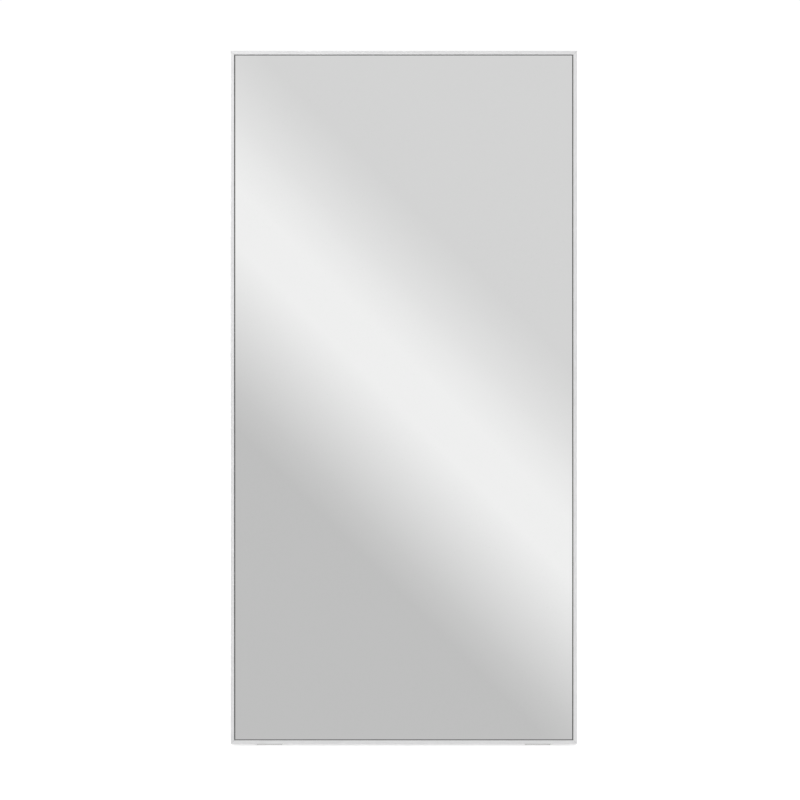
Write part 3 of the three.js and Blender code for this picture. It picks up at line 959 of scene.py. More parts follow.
@dataclass(frozen=True)
class PowderCoat(Finish):
    """Satin silver-grey powder coating on steel.

    Args:
        light: the coating's lighter patches.
        dark: its darker patches.
        flake: the colour of its metal flakes.
        rubbed: the colour of its edges.
        dusty: the colour of the dust on it.
        metal: how metallic it is where no dust lies.
    """

    light: Colour = (0.60, 0.60, 0.60)
    dark: Colour = (0.52, 0.52, 0.525)
    flake: Colour = (0.82, 0.82, 0.82)
    rubbed: Colour = (0.7, 0.7, 0.71)
    dusty: Colour = (0.62, 0.61, 0.58)
    metal: float = 0.55

    def build(self) -> bpy.types.Material:
        """Builds the material.

        Returns:
            The material.
        """
        w, shader, place = self.begin(Coat_Roughness=0.2, Coat_IOR=1.45)
        mottle = self.effects.use(w, Effect.MOTTLE, Vector=place, Scale=25.0)
        peel = self.effects.use(w, Effect.SKIN, Vector=place, Scale=650.0)
        wear = self.effects.use(w, Effect.EDGE_WEAR, Vector=place, Width=0.0005, Amount=0.5)
        dust = self.effects.use(w, Effect.DUST, Vector=place, Amount=0.35)
        scatter = w.noise(place, scale=5200, detail=1, roughness=0.5)
        flakes = w.span(scatter, low=0.62, high=0.74)
        coated = w.blend(flakes, w.blend(mottle, self.dark, self.light), self.flake)
        worn = w.blend(wear, coated, self.rubbed)
        self.feed(
            w,
            shader,
            Base_Color=w.blend(dust, worn, self.dusty),
            Metallic=w.scaled(dust, by=-self.metal, plus=self.metal),
            Roughness=w.scaled(mottle, by=0.08, plus=0.34),
            Coat_Weight=w.scaled(mottle, by=0.1, plus=0.1),
        )
        self.relief(w, shader, peel, distance=0.00008, strength=0.3)
        return self.material()


@dataclass(frozen=True)
class Moulded(Finish):
    """Moulded rubber, vinyl or nylon.

    Args:
        light: the colour of rubbed and raised places.
        dark: the colour of the rest.
        rough: the least roughness.
        skin: how fine the mould's texture is, in cells per metre.
        depth: how deep it is, in metres.
        dusty: the colour of the dust on it.
    """

    light: Colour = (0.06, 0.06, 0.063)
    dark: Colour = (0.02, 0.02, 0.022)
    rough: float = 0.5
    skin: float = 900
    depth: float = 0.00006
    dusty: Colour = (0.4, 0.39, 0.37)

    def build(self) -> bpy.types.Material:
        """Builds the material.

        Returns:
            The material.
        """
        w, shader, place = self.begin(IOR=1.5)
        mottle = self.effects.use(w, Effect.MOTTLE, Vector=place, Scale=45.0)
        texture = self.effects.use(w, Effect.SKIN, Vector=place, Scale=self.skin)
        wear = self.effects.use(w, Effect.EDGE_WEAR, Vector=place, Width=0.0006, Amount=0.5)
        dust = self.effects.use(w, Effect.DUST, Vector=place, Amount=0.3)
        shade = w.weighed(mottle, share=0.55, other=wear, rest=0.45, clamp=True)
        self.feed(
            w,
            shader,
            Base_Color=w.blend(dust, w.blend(shade, self.dark, self.light), self.dusty),
            Roughness=w.scaled(mottle, by=0.18, plus=self.rough),
        )
        self.relief(w, shader, texture, self.depth, strength=0.5)
        return self.material()


@dataclass(frozen=True)
class Hardboard(Finish):
    """Brown hardboard, with the screen pattern of its rough side and short fibres.

    Args:
        light: the board's lighter patches.
        dark: its darker patches.
        screen: how fine the screen pattern is, in half waves per metre.
        raised: the colour of what stands up between the wires.
        fleck: the colour of its dark flecks.
        dusty: the colour of the dust on it.
        stretch: the squeeze of its fibres on X, Y and Z.
    """

    light: Colour = (0.30, 0.19, 0.115)
    dark: Colour = (0.21, 0.125, 0.07)
    screen: float = 620.0
    raised: Colour = (0.42, 0.27, 0.16)
    fleck: Colour = (0.1, 0.055, 0.03)
    dusty: Colour = (0.45, 0.42, 0.38)
    stretch: tuple[float, float, float] = (1.0, 1.0, 0.35)

    def build(self) -> bpy.types.Material:
        """Builds the material.

        Returns:
            The material.
        """
        w, shader, place = self.begin(IOR=1.4)
        mottle = self.effects.use(w, Effect.MOTTLE, Vector=place, Scale=7.0)
        squeezed = w.vector("MULTIPLY", place, self.stretch)
        fibre = self.effects.use(w, Effect.GRAIN, Vector=squeezed, Fineness=620.0)
        scatter = w.noise(place, scale=420, detail=5, roughness=0.75)
        specks = w.span(scatter, low=0.58, high=0.7)
        axes = w.node("SeparateXYZ", {0: place})
        ribs = [
            w.maths("SINE", w.maths("MULTIPLY", axes.outputs[i], self.screen * math.tau / 2))
            for i in ("X", "Z")
        ]
        weave = w.maths("MULTIPLY", w.maths("ABSOLUTE", ribs[0]), w.maths("ABSOLUTE", ribs[1]))
        tone = w.weighed(mottle, share=0.5, other=fibre, rest=0.5)
        board = w.blend(tone, self.dark, self.light)
        woven = w.blend(w.maths("MULTIPLY", weave, 0.35), board, self.raised)
        flecked = w.blend(w.maths("MULTIPLY", specks, 0.6), woven, self.fleck)
        dust = self.effects.use(w, Effect.DUST, Vector=place, Amount=0.3)
        self.feed(
            w,
            shader,
            Base_Color=w.blend(dust, flecked, self.dusty),
            Roughness=w.scaled(fibre, by=0.15, plus=0.68),
        )
        height = w.weighed(weave, share=0.6, other=fibre, rest=0.5)
        self.relief(w, shader, height, distance=0.00025, strength=0.6)
        return self.material()


@dataclass(frozen=True)
class CorrugatedCard(Finish):
    """Brown corrugated card, with its flutes showing through the liner.

    Args:
        light: the card's lighter places.
        dark: its darker places.
        flutes: how many flutes there are in a metre.
    """

    light: Colour = (0.47, 0.325, 0.19)
    dark: Colour = (0.37, 0.245, 0.135)
    flutes: float = 160.0

    def build(self) -> bpy.types.Material:
        """Builds the material.

        Returns:
            The material.
        """
        w, shader, place = self.begin(IOR=1.4)
        mottle = self.effects.use(w, Effect.MOTTLE, Vector=place, Scale=11.0)
        fibre = self.effects.use(w, Effect.GRAIN, Vector=place, Fineness=900.0)
        x = w.node("SeparateXYZ", {0: place}).outputs["X"]
        flute = w.maths("SINE", w.maths("MULTIPLY", x, self.flutes * math.tau))
        wave = w.scaled(flute, by=0.5, plus=0.5)
        tone = w.weighed(mottle, share=0.5, other=wave, rest=0.35)
        self.feed(
            w,
            shader,
            Base_Color=w.blend(tone, self.dark, self.light),
            Roughness=w.scaled(fibre, by=0.12, plus=0.8),
        )
        self.relief(w, shader, w.scaled(fibre, by=0.2, plus=wave), distance=0.0002, strength=0.5)
        return self.material()


@dataclass(frozen=True)
class Palette:
    """Every finish of the mirror, ready to use.

    Args:
        rail: the frame's aluminium, for each way that a rail runs.
        glass: the pane.
        steel: screws, brackets and plates.
        coat: the stand.
        vinyl: the glazing beads.
        film: the safety film.
        card: the cushion sheet.
        board: the backing board.
        nylon: corner keys and washers.
        ring: the lock nuts' inserts.
        rubber: setting blocks and the stand's shoes.
        pad: the foot pads.
    """

    rail: dict[Along, bpy.types.Material]
    glass: bpy.types.Material
    steel: bpy.types.Material
    coat: bpy.types.Material
    vinyl: bpy.types.Material
    film: bpy.types.Material
    card: bpy.types.Material
    board: bpy.types.Material
    nylon: bpy.types.Material
    ring: bpy.types.Material
    rubber: bpy.types.Material
    pad: bpy.types.Material

    @staticmethod
    def mix(tilt: float) -> Palette:
        """Builds every finish.

        Args:
            tilt: the turn of the leaning frame's axes about X, in radians.

        Returns:
            The palette.
        """
        fx = Effects()
        rail = {
            way: SatinAluminium(fx, f"satin_aluminium_{way.name.lower()}", way, tilt).build()
            for way in Along
        }
        return Palette(
            rail=rail,
            glass=SilveredGlass(fx, "silvered_glass", tilt).build(),
            steel=BareSteel(fx, "zinc_plated_steel").build(),
            coat=PowderCoat(fx, "grey_powder_coat").build(),
            vinyl=Moulded(fx, "black_vinyl", rough=0.42, skin=1500.0, depth=0.00003).build(),
            film=Moulded(
                fx, "safety_film", (0.45, 0.49, 0.52), (0.36, 0.4, 0.43), 0.4, 300.0, 0.00005
            ).build(),
            card=CorrugatedCard(fx, "corrugated_card").build(),
            board=Hardboard(fx, "hardboard").build(),
            nylon=Moulded(fx, "black_nylon", (0.07, 0.07, 0.075), rough=0.4, skin=1200.0).build(),
            ring=Moulded(
                fx, "blue_nylon", (0.1, 0.22, 0.5), (0.05, 0.13, 0.36), 0.35, 1200.0
            ).build(),
            rubber=Moulded(fx, "black_rubber", rough=0.62, skin=700.0, depth=0.0001).build(),
            pad=Moulded(
                fx, "pale_rubber", (0.85, 0.85, 0.84), (0.78, 0.78, 0.77), 0.55, 700.0, 0.0001
            ).build(),
        )


# ---- Fasteners -------------------------------------------------------------------------------


def threaded(
    radius: float, depth: float, pitch: float, low: float, high: float
) -> Callable[[float, float], float]:
    """The cut of a thread into a shank.

    Args:
        radius: the shank's radius.
        depth: the thread's depth.
        pitch: the distance between turns.
        low: where the thread starts.
        high: where it runs out.

    Returns:
        A function of height and angle that gives the depth of the cut.
    """

    def ripple(z: float, angle: float) -> float:
        """The depth of the cut at a point of the shank.

        Args:
            z: the point's height.
            angle: its angle round the shank.

        Returns:
            The depth.
        """
        if not low <= z <= high:
            return 0
        turn = (z / pitch - angle / math.tau) % 1
        runout = min(1, (high - z) / pitch, (z - low) / (pitch / 2) + 0.2)
        return min(depth, radius / 2) * (1 - abs(2 * turn - 1)) * runout

    return ripple


def shank(radius: float, tip: float, low: float, high: float, pitch: float) -> Loop:
    """The profile of a threaded shank, close enough to carry its thread.

    Args:
        radius: the shank's radius.
        tip: the radius at its point.
        low: the point's height.
        high: the top of the thread.
        pitch: the thread's pitch.

    Returns:
        The profile's points, from the axis upwards.
    """
    taper = radius - tip
    steps = math.ceil((high - low - taper) / (pitch / 8))
    rise = (high - low - taper) / steps
    rows = [(radius, low + taper + rise * i) for i in range(steps + 1)]
    return [(0, low), (tip, low), *rows]


@dataclass(frozen=True)
class Screw:
    """A cross-head screw that points down its own -Z, with its head's seat or face on z = 0.

    Args:
        length: from z = 0 to the point.
        shank_radius: the shank's radius.
        head_radius: the head's radius.
        head_height: the head's height.
        countersunk: whether the head is a flush cone, and not a pan.
    """

    length: float
    shank_radius: float
    head_radius: float
    head_height: float
    countersunk: bool = False
    pitch: float = 0.7 * MM
    thread: float = 0.35 * MM
    tip: float = 0.5  # radius of the point, as a share of the shank's
    facets: int = 36
    neck: float = 0.4 * MM  # bare shank under a pan head
    rim: float = 0.15 * MM  # how far in and up the rim's edge is eased
    brim: float = 0.05 * MM  # from a flush head's face to its rim
    brim_ease: float = 0.08 * MM
    dome_step: int = 9  # degrees
    dome_power: float = 0.55  # less is squarer
    dome_foot: float = 0.42  # where the dome starts, as a share of the head's height
    dome_rise: float = 0.58
    dome_flat: float = 0.3  # radius of its flat top, as a share of the head's
    cross_wide: float = 0.56  # half a cross's arm, as shares of the head's radius
    cross_narrow: float = 0.3
    blade: float = 0.09
    blade_flare: float = 0.05
    pan_depth: float = 0.62  # the cross's depth, as a share of the head's height
    flush_depth: float = 0.5

    def recess(self, top: float, depth: float) -> list[bpy.types.Mesh]:
        """Two tapered blades that cut the cross.

        Args:
            top: the height of the head's face.
            depth: how deep the cross goes.

        Returns:
            The cutters.
        """
        wide, narrow = self.head_radius * self.cross_wide, self.head_radius * self.cross_narrow
        corners = ((1, -1), (1, 1), (-1, 1), (-1, -1))
        blades = []
        for turn in range(2):
            rings = []
            for share, z in ((1.0, top + depth), (1.0, top), (0.0, top - depth)):
                long = narrow + (wide - narrow) * share
                thin = self.head_radius * (self.blade + self.blade_flare * share)
                rings.append([Vector((x * long, y * thin, z)) for x, y in corners])
            blade = loft(rings, "blade")
            blade.transform(Matrix.Rotation(turn * math.pi / 2, 4, "Z"))
            blades.append(blade)
        return blades

    def build(self) -> bpy.types.Mesh:
        """Builds the screw.

        Returns:
            Its mesh.
        """
        r, head, high = self.shank_radius, self.head_radius, self.head_height
        if self.countersunk:
            neck = -high
            top = 0.0
            crown = [(r, neck), (head, -self.rim), (head, -self.brim), (head - self.brim_ease, 0)]
        else:
            neck = -self.neck
            top = high
            turns = (math.radians(degrees) for degrees in range(0, 90, self.dome_step))
            dome = [
                (
                    head * math.cos(a) ** self.dome_power,
                    high * (self.dome_foot + self.dome_rise * math.sin(a)),
                )
                for a in turns
            ]
            crown = [(r, neck), (r, 0), (head - self.rim, 0), (head, self.rim), *dome]
            crown.append((head * self.dome_flat, high))
        tip = r * self.tip
        profile = shank(r, tip, -self.length, neck, self.pitch) + crown[1:] + [(0, top)]
        ripple = threaded(r, self.thread, self.pitch, -self.length + tip, neck)
        body = turned(profile, "screw", self.facets, ripple)
        depth = high * (self.flush_depth if self.countersunk else self.pan_depth)
        return combine(body, self.recess(top, depth), "DIFFERENCE")


@dataclass(frozen=True)
class ButtonBolt:
    """A button-head bolt that points down its own -Z, with its head's seat on z = 0.

    Args:
        length: from the seat to the point.
        radius: the shank's radius.
        head_radius: the head's radius.
        head_height: the head's height.
        thread_length: the length of its thread.
    """

    length: float
    radius: float
    head_radius: float
    head_height: float
    thread_length: float = 9 * MM
    pitch: float = 1.0 * MM
    thread: float = 0.55 * MM
    chamfer: float = 0.5 * MM  # at the point
    undercut: float = 0.3 * MM  # of plain shank under the head
    seat_ease: float = 0.2 * MM
    rim: float = 0.15 * MM
    dome_from: float = 8  # degrees
    dome_to: float = 66
    dome_steps: int = 12
    key_radius: float = 2.3 * MM
    key_edge: float = 0.05 * MM
    key_floor: float = 0.35  # height of the socket's floor, as a share of the head's

    def build(self) -> bpy.types.Mesh:
        """Builds the bolt.

        Returns:
            Its mesh.
        """
        r, head, high = self.radius, self.head_radius, self.head_height
        run_out = -self.length + self.thread_length
        dome = arc(0, 0, 1, self.dome_from, self.dome_to, self.dome_steps)
        crown = [(head * x / dome[0][0], high * y / dome[-1][1]) for x, y in dome]
        profile = shank(r, r - self.chamfer, -self.length, run_out, self.pitch)
        profile += [(r, -self.undercut), (r, 0), (head - self.seat_ease, 0), (head, self.rim)]
        profile += [*crown, (0, high)]
        ripple = threaded(r, self.thread, self.pitch, -self.length + self.chamfer, run_out)
        body = turned(profile, "bolt", ripple=ripple)
        key = plate([circle(0, 0, self.key_radius, 6)], high, "key", self.key_edge)
        key.transform(Matrix.Translation((0, 0, high * self.key_floor)))
        return combine(body, [key], "DIFFERENCE")


@dataclass(frozen=True)
class LockNut:
    """A hexagon lock nut along Z, with its seat on z = 0 and its collar above.

    Args:
        flats: the width across its flats.
        height: the hexagon's height.
        collar: the collar's height.
        collar_radius: the collar's outer radius.
        bore: its hole's radius.
    """

    flats: float = 10 * MM
    height: float = 4.2 * MM
    collar: float = 1.4 * MM
    collar_radius: float = 4.4 * MM
    bore: float = 3.2 * MM
    facets: int = 64
    edge: float = 0.05 * MM
    chamfer: float = 0.6 * MM  # of the hexagon's corners
    face_inset: float = 0.1 * MM  # from the flats to the chamfer's inner edge
    corner_slack: float = 0.01 * MM
    face_slack: float = 0.001 * MM
    rolled: float = 0.5 * MM  # of the collar's rounded rim, and its root in the hexagon
    rolled_mid: float = 0.15 * MM
    well_share: float = 0.9  # of the collar's height, that the ring's well takes
    well_wall: float = 0.55 * MM
    mouth: float = 0.5 * MM  # of the bore's countersink
    mouth_flare: float = 0.7 * MM
    past: float = 1 * MM  # how far the drill runs past both faces
    ring_gap: float = 0.02 * MM
    ring_drop: float = 0.1 * MM
    ring_wall: float = 0.58 * MM
    ring_bite: float = 0.1 * MM  # of the ring into the bore
    ring_soft: float = 0.15 * MM

    def body(self) -> bpy.types.Mesh:
        """Builds the steel body.

        Returns:
            Its mesh.
        """
        corner = self.flats / 2 / math.cos(math.pi / 6)
        limit = corner + self.corner_slack
        flat = self.flats / 2 - self.face_inset
        hexagon = plate([circle(0, 0, corner, 6)], self.height, "nut", self.edge)
        envelope = [
            (0, -self.face_slack),
            (flat, 0),
            (limit, self.chamfer),
            (limit, self.height - self.chamfer),
            (flat, self.height),
            (0, self.height + self.face_slack),
        ]
        hexagon = combine(hexagon, [turned(envelope, "chamfer", self.facets)], "INTERSECT")
        top = self.height + self.collar
        r = self.collar_radius
        rim = [
            (0, self.height - self.rolled),
            (r, self.height - self.rolled),
            (r, top - self.rolled),
            (r - self.rolled_mid, top - self.rolled_mid),
            (r - self.rolled, top),
            (0, top),
        ]
        whole = combine(hexagon, [turned(rim, "collar", self.facets)], "UNION")
        well = top - self.collar * self.well_share
        hole = [
            (0, -self.past),
            (self.bore + self.mouth_flare, -self.past),
            (self.bore + self.mouth, 0),
            (self.bore, self.mouth),
            (self.bore, well),
            (r - self.well_wall, well),
            (r - self.well_wall, top + self.past),
            (0, top + self.past),
        ]
        return combine(whole, [turned(hole, "drill", self.facets)], "DIFFERENCE")

    def insert(self) -> bpy.types.Mesh:
        """Builds the nylon ring in the collar.

        Returns:
            Its mesh.
        """
        top = self.height + self.collar
        low = top - self.collar * self.well_share + self.ring_gap
        high = top - self.ring_drop
        out, inner = self.collar_radius - self.ring_wall, self.bore - self.ring_bite
        section = [
            (inner, low),
            (out, low),
            (out, high - self.ring_soft),
            (out - self.ring_soft, high),
            (inner + self.ring_soft, high),
            (inner, high - self.ring_soft),
        ]
        return turned(section, "insert", self.facets)


def make_washer(
    bore: float, radius: float, thickness: float, ease: float = 0.25, facets: int = 64
) -> bpy.types.Mesh:
    """A flat washer with soft edges, along Z and centred on it.

    Args:
        bore: its hole's radius.
        radius: its outer radius.
        thickness: its thickness.
        ease: how much of the thickness each edge's easing takes.
        facets: how many faces go round.

    Returns:
        Its mesh.
    """
    half, soft = thickness / 2, thickness * ease
    lower = [(bore, -half + soft), (bore + soft, -half), (radius - soft, -half), (radius, -half + soft)]
    upper = [(r, -z) for r, z in reversed(lower)]
    return turned(lower + upper, "washer", facets)


# ---- The frame and its glazing ---------------------------------------------------------------


@dataclass
class Assembly:
    """What every sub-assembly shares.

    Args:
        axes: the axes that it is drawn in.
        palette: the finishes.
        body: the CAD body that it rides on.
    """

    axes: Axes
    palette: Palette
    body: str = "mirror"

    def put(
        self,
        name: str,
        mesh: bpy.types.Mesh,
        finish: bpy.types.Material,
        slot: str,
        node: str,
        *moves: Matrix,
    ) -> None:
        """Puts in a new piece, which stands for one node.

        Args:
            name: the piece's name.
            mesh: its mesh, in its own axes.
            finish: its material.
            slot: its material slot in the record.
            node: the node.
            moves: what takes its axes to the sub-assembly's, the last one first.
        """
        matrix = self.axes.matrix
        for move in moves:
            matrix = matrix @ move
        fit(name, mesh, finish, Place(matrix, self.body, slot, (node,)))


@dataclass
class GlazedFrame(Assembly):
    """The four rails, the pane and its beads, and the layers behind the pane."""

    rail_ease: float = 0.12 * MM
    glass_ease: float = 0.15 * MM
    bead_ease: float = 0.1 * MM
    film_ease: float = 0.05 * MM
    sheet_ease: float = 0.25 * MM
    board_faces: int = 3  # across the board's eased edge
    block_ease: float = 0.3 * MM
    key_ease: float = 0.5 * MM
    leg_width: float = 14.2 * MM
    screw_hole: float = 2.35 * MM
    screw_from_end: float = 25 * MM
    pocket_wall: float = 2.6 * MM
    pocket_from: float = 15 * MM  # from the leg's end
    pocket_to: float = 4.5 * MM
    pocket_corner: float = 0.8 * MM
    rib_pitch: float = 4 * MM
    rib_depth: float = 0.35 * MM
    rib_slope: float = 0.8  # of the pitch, that a tooth's back takes
    rib_start: float = 4 * MM
    rib_end: float = 3 * MM
    heel_cut: float = 0.6 * MM
    toe_cut: float = 2 * MM
    inner_cut: float = 1.2 * MM

    def build(self) -> None:
        """Dresses the CAD pieces and makes the corner keys."""
        for name, way in RAILS.items():
            dress(f"rail_{name}", self.palette.rail[way], self.rail_ease)
            dress(f"bead_{name}", self.palette.vinyl, self.bead_ease)
        dress("mirror_pane", self.palette.glass, self.glass_ease)
        dress("safety_film", self.palette.film, self.film_ease)
        dress("cushion_sheet", self.palette.card, self.sheet_ease)
        dress("backing_board", self.palette.board, self.sheet_ease, self.board_faces)
        for side in Side:
            dress(f"setting_block_{side.label}", self.palette.rubber, self.block_ease)
        for corner in ("bottom_left", "bottom_right", "top_right", "top_left"):
            self.make_key(corner)

    def make_key(self, corner: str) -> None:
        """Replaces a corner key by one with gripping ribs and a lightening pocket in each leg.

        Args:
            corner: the corner's word in node names.
        """
        node = f"corner_key_{corner}"
        box = self.axes.box(node)
        across = -1 if corner.endswith("right") else 1
        up = -1 if corner.startswith("top") else 1
        length = box.size.x
        width = min(self.leg_width, length)
        loops = [self.ribbed_corner(length, width)]
        for swap in (False, True):
            at = (length - self.screw_from_end, width / 2)
            loops.append(circle(*(at[::-1] if swap else at), self.screw_hole, 28))
            corners = [(x, y, self.pocket_corner) for x, y in self.pocket(length, width, swap)]
            loops.append(rounded(corners, 4))
        mesh = upright(plate(loops, box.size.y, node, self.key_ease), box.size.y)
        x = box.low.x if across > 0 else box.high.x
        z = box.low.z if up > 0 else box.high.z
        if across * up < 0:
            mesh.flip_normals()
        name = node.replace("key", "cleat")
        moves = (Matrix.Translation((x, box.low.y, z)), Matrix.Diagonal((across, 1, up, 1)))
        self.put(name, mesh, self.palette.nylon, "key_nylon", node, *moves)

    def pocket(self, length: float, width: float, swap: bool) -> list[Point]:
        """The corners of a leg's pocket, near the leg's end.

        Args:
            length: the key's length.
            width: the leg's width.
            swap: whether the leg runs up and not across.

        Returns:
            Four corners.
        """
        start, end = length - self.pocket_from, length - self.pocket_to
        low, high = self.pocket_wall, width - self.pocket_wall
        corners = [(start, low), (end, low), (end, high), (start, high)]
        return [(y, x) for x, y in reversed(corners)] if swap else corners

    def ribbed_corner(self, length: float, width: float) -> Loop:
        """The outline of an L with saw-tooth ribs along its outer edges.

        Args:
            length: the length of each leg.
            width: the width of each leg.

        Returns:
            The outline's points, from the inner corner round.
        """
        first, last = width + self.rib_start, length - self.rib_end
        teeth = []
        for i in range(int((last - first) / self.rib_pitch)):
            x = first + i * self.rib_pitch
            teeth += [(x, 0.0), (x, self.rib_depth), (x + self.rib_pitch * self.rib_slope, 0.0)]
        toe = [(length - self.toe_cut, 0.0), (length, self.toe_cut)]
        inner = [(length, width - self.inner_cut), (length - self.inner_cut, width), (width, width)]
        out = [(self.heel_cut, 0.0), *teeth, *toe, *inner]
        return out + [(y, x) for x, y in reversed(out[:-1])]


@dataclass
class Fixings(Assembly):
    """The screws, and the hanger plates that two pairs of them hold."""

    seed: int = 7
    pan_height: float = 2.4 * MM
    pan_shank: float = 2 * MM
    flush_height: float = 2.1 * MM
    flush_shank: float = 1.9 * MM
    plate_edge: float = 0.25 * MM
    corner: float = 4 * MM
    mouth: float = 5 * MM
    slot: float = 2.6 * MM
    rise: float = 9 * MM
    land: float = 3 * MM
    spread: float = 34 * MM
    bore: float = 2.2 * MM  # of a screw's hole
    sink: float = 4.1 * MM  # of its countersink
    sink_low: float = 0.1 * MM
    sink_high: float = 1.75 * MM
    past: float = 1 * MM  # how far the drill runs past each face
    nut_plate_ease: float = 0.3 * MM
    turns: random.Random = field(init=False)

    def __post_init__(self) -> None:
        """Starts the draw of the angles at which the screws came to rest."""
        self.turns = random.Random(self.seed)

    def build(self) -> None:
        """Makes the screws and the plates."""
        corners = [
            f"corner_screw_{corner}_{number}"
            for corner in ("bottom_left", "bottom_right", "top_left", "top_right")
            for number in (1, 2)
        ]
        brackets = [f"bracket_screw_{side.label}_{end}" for side in Side for end in ("lower", "upper")]
        hangers = [f"hanger_screw_{side.label}_{number}" for side in Side for number in (1, 2)]
        self.make_screws(corners, self.pan_height, self.pan_shank)
        self.make_screws(brackets, self.pan_height, self.pan_shank)
        self.make_screws(hangers, self.flush_height, self.flush_shank, countersunk=True)
        for side in Side:
            self.make_hanger(side)
            dress(f"nut_plate_{side.label}", self.palette.steel, self.nut_plate_ease)

    def make_screws(
        self, nodes: list[str], head: float, radius: float, countersunk: bool = False
    ) -> None:
        """Replaces a set of like screws.

        Args:
            nodes: their nodes.
            head: the head's height.
            radius: the shank's radius.
            countersunk: whether their heads are flush.
        """
        first = self.axes.box(nodes[0])
        length = first.size.y if countersunk else first.size.y - head
        mesh = Screw(length, radius, first.size.x / 2, head, countersunk).build()
        for node in nodes:
            box = self.axes.box(node)
            face = box.high.y if countersunk else box.high.y - head
            moves = (
                Matrix.Translation((box.centre.x, face, box.centre.z)),
                Matrix.Rotation(-math.pi / 2, 4, "X"),
                Matrix.Rotation(self.turns.uniform(0, math.pi), 4, "Z"),
            )
            self.put(node + "_cross_head", mesh, self.palette.steel, "zinc_steel", node, *moves)
        bpy.data.meshes.remove(mesh)

    def make_hanger(self, side: Side) -> None:
        """Replaces a keyhole plate by one with stamped, eased edges.

        Args:
            side: the plate's side.
        """
        node = f"hanger_plate_{side.label}"
        box = self.axes.box(node)
        width, height, thickness = box.size.x, box.size.z, box.size.y
        mouth = -height / 2 + self.land + self.mouth
        half = math.degrees(math.asin(self.slot / self.mouth))
        keyhole = arc(0, mouth, self.mouth, 90 + half, 450 - half, 44)
        keyhole += arc(0, mouth + self.rise, self.slot, 0, 180, 20)
        outline = rectangle(width, height, self.corner)
        mesh = plate([outline, keyhole], thickness, node, self.plate_edge)
        screw_line = self.axes.box(f"hanger_screw_{side.label}_1").centre.z - box.centre.z
        drill = [
            (0, -self.past),
            (self.bore, -self.past),
            (self.bore, self.sink_low),
            (self.sink, self.sink_high),
            (self.sink, thickness + self.past),
            (0, thickness + self.past),
        ]
        sinks = []
        for way in (-1, 1):
            cone = turned(drill, "sink")
            cone.transform(Matrix.Translation((way * self.spread / 2, screw_line, 0)))
            sinks.append(cone)
        mesh = combine(mesh, sinks, "DIFFERENCE")
        mesh.transform(Matrix.Diagonal((-1, -1, 1, 1)) @ Matrix.Rotation(math.pi / 2, 4, "X"))
        at = Matrix.Translation((box.centre.x, box.low.y, box.centre.z))
        self.put(node + "_stamped", mesh, self.palette.steel, "zinc_steel", node, at)


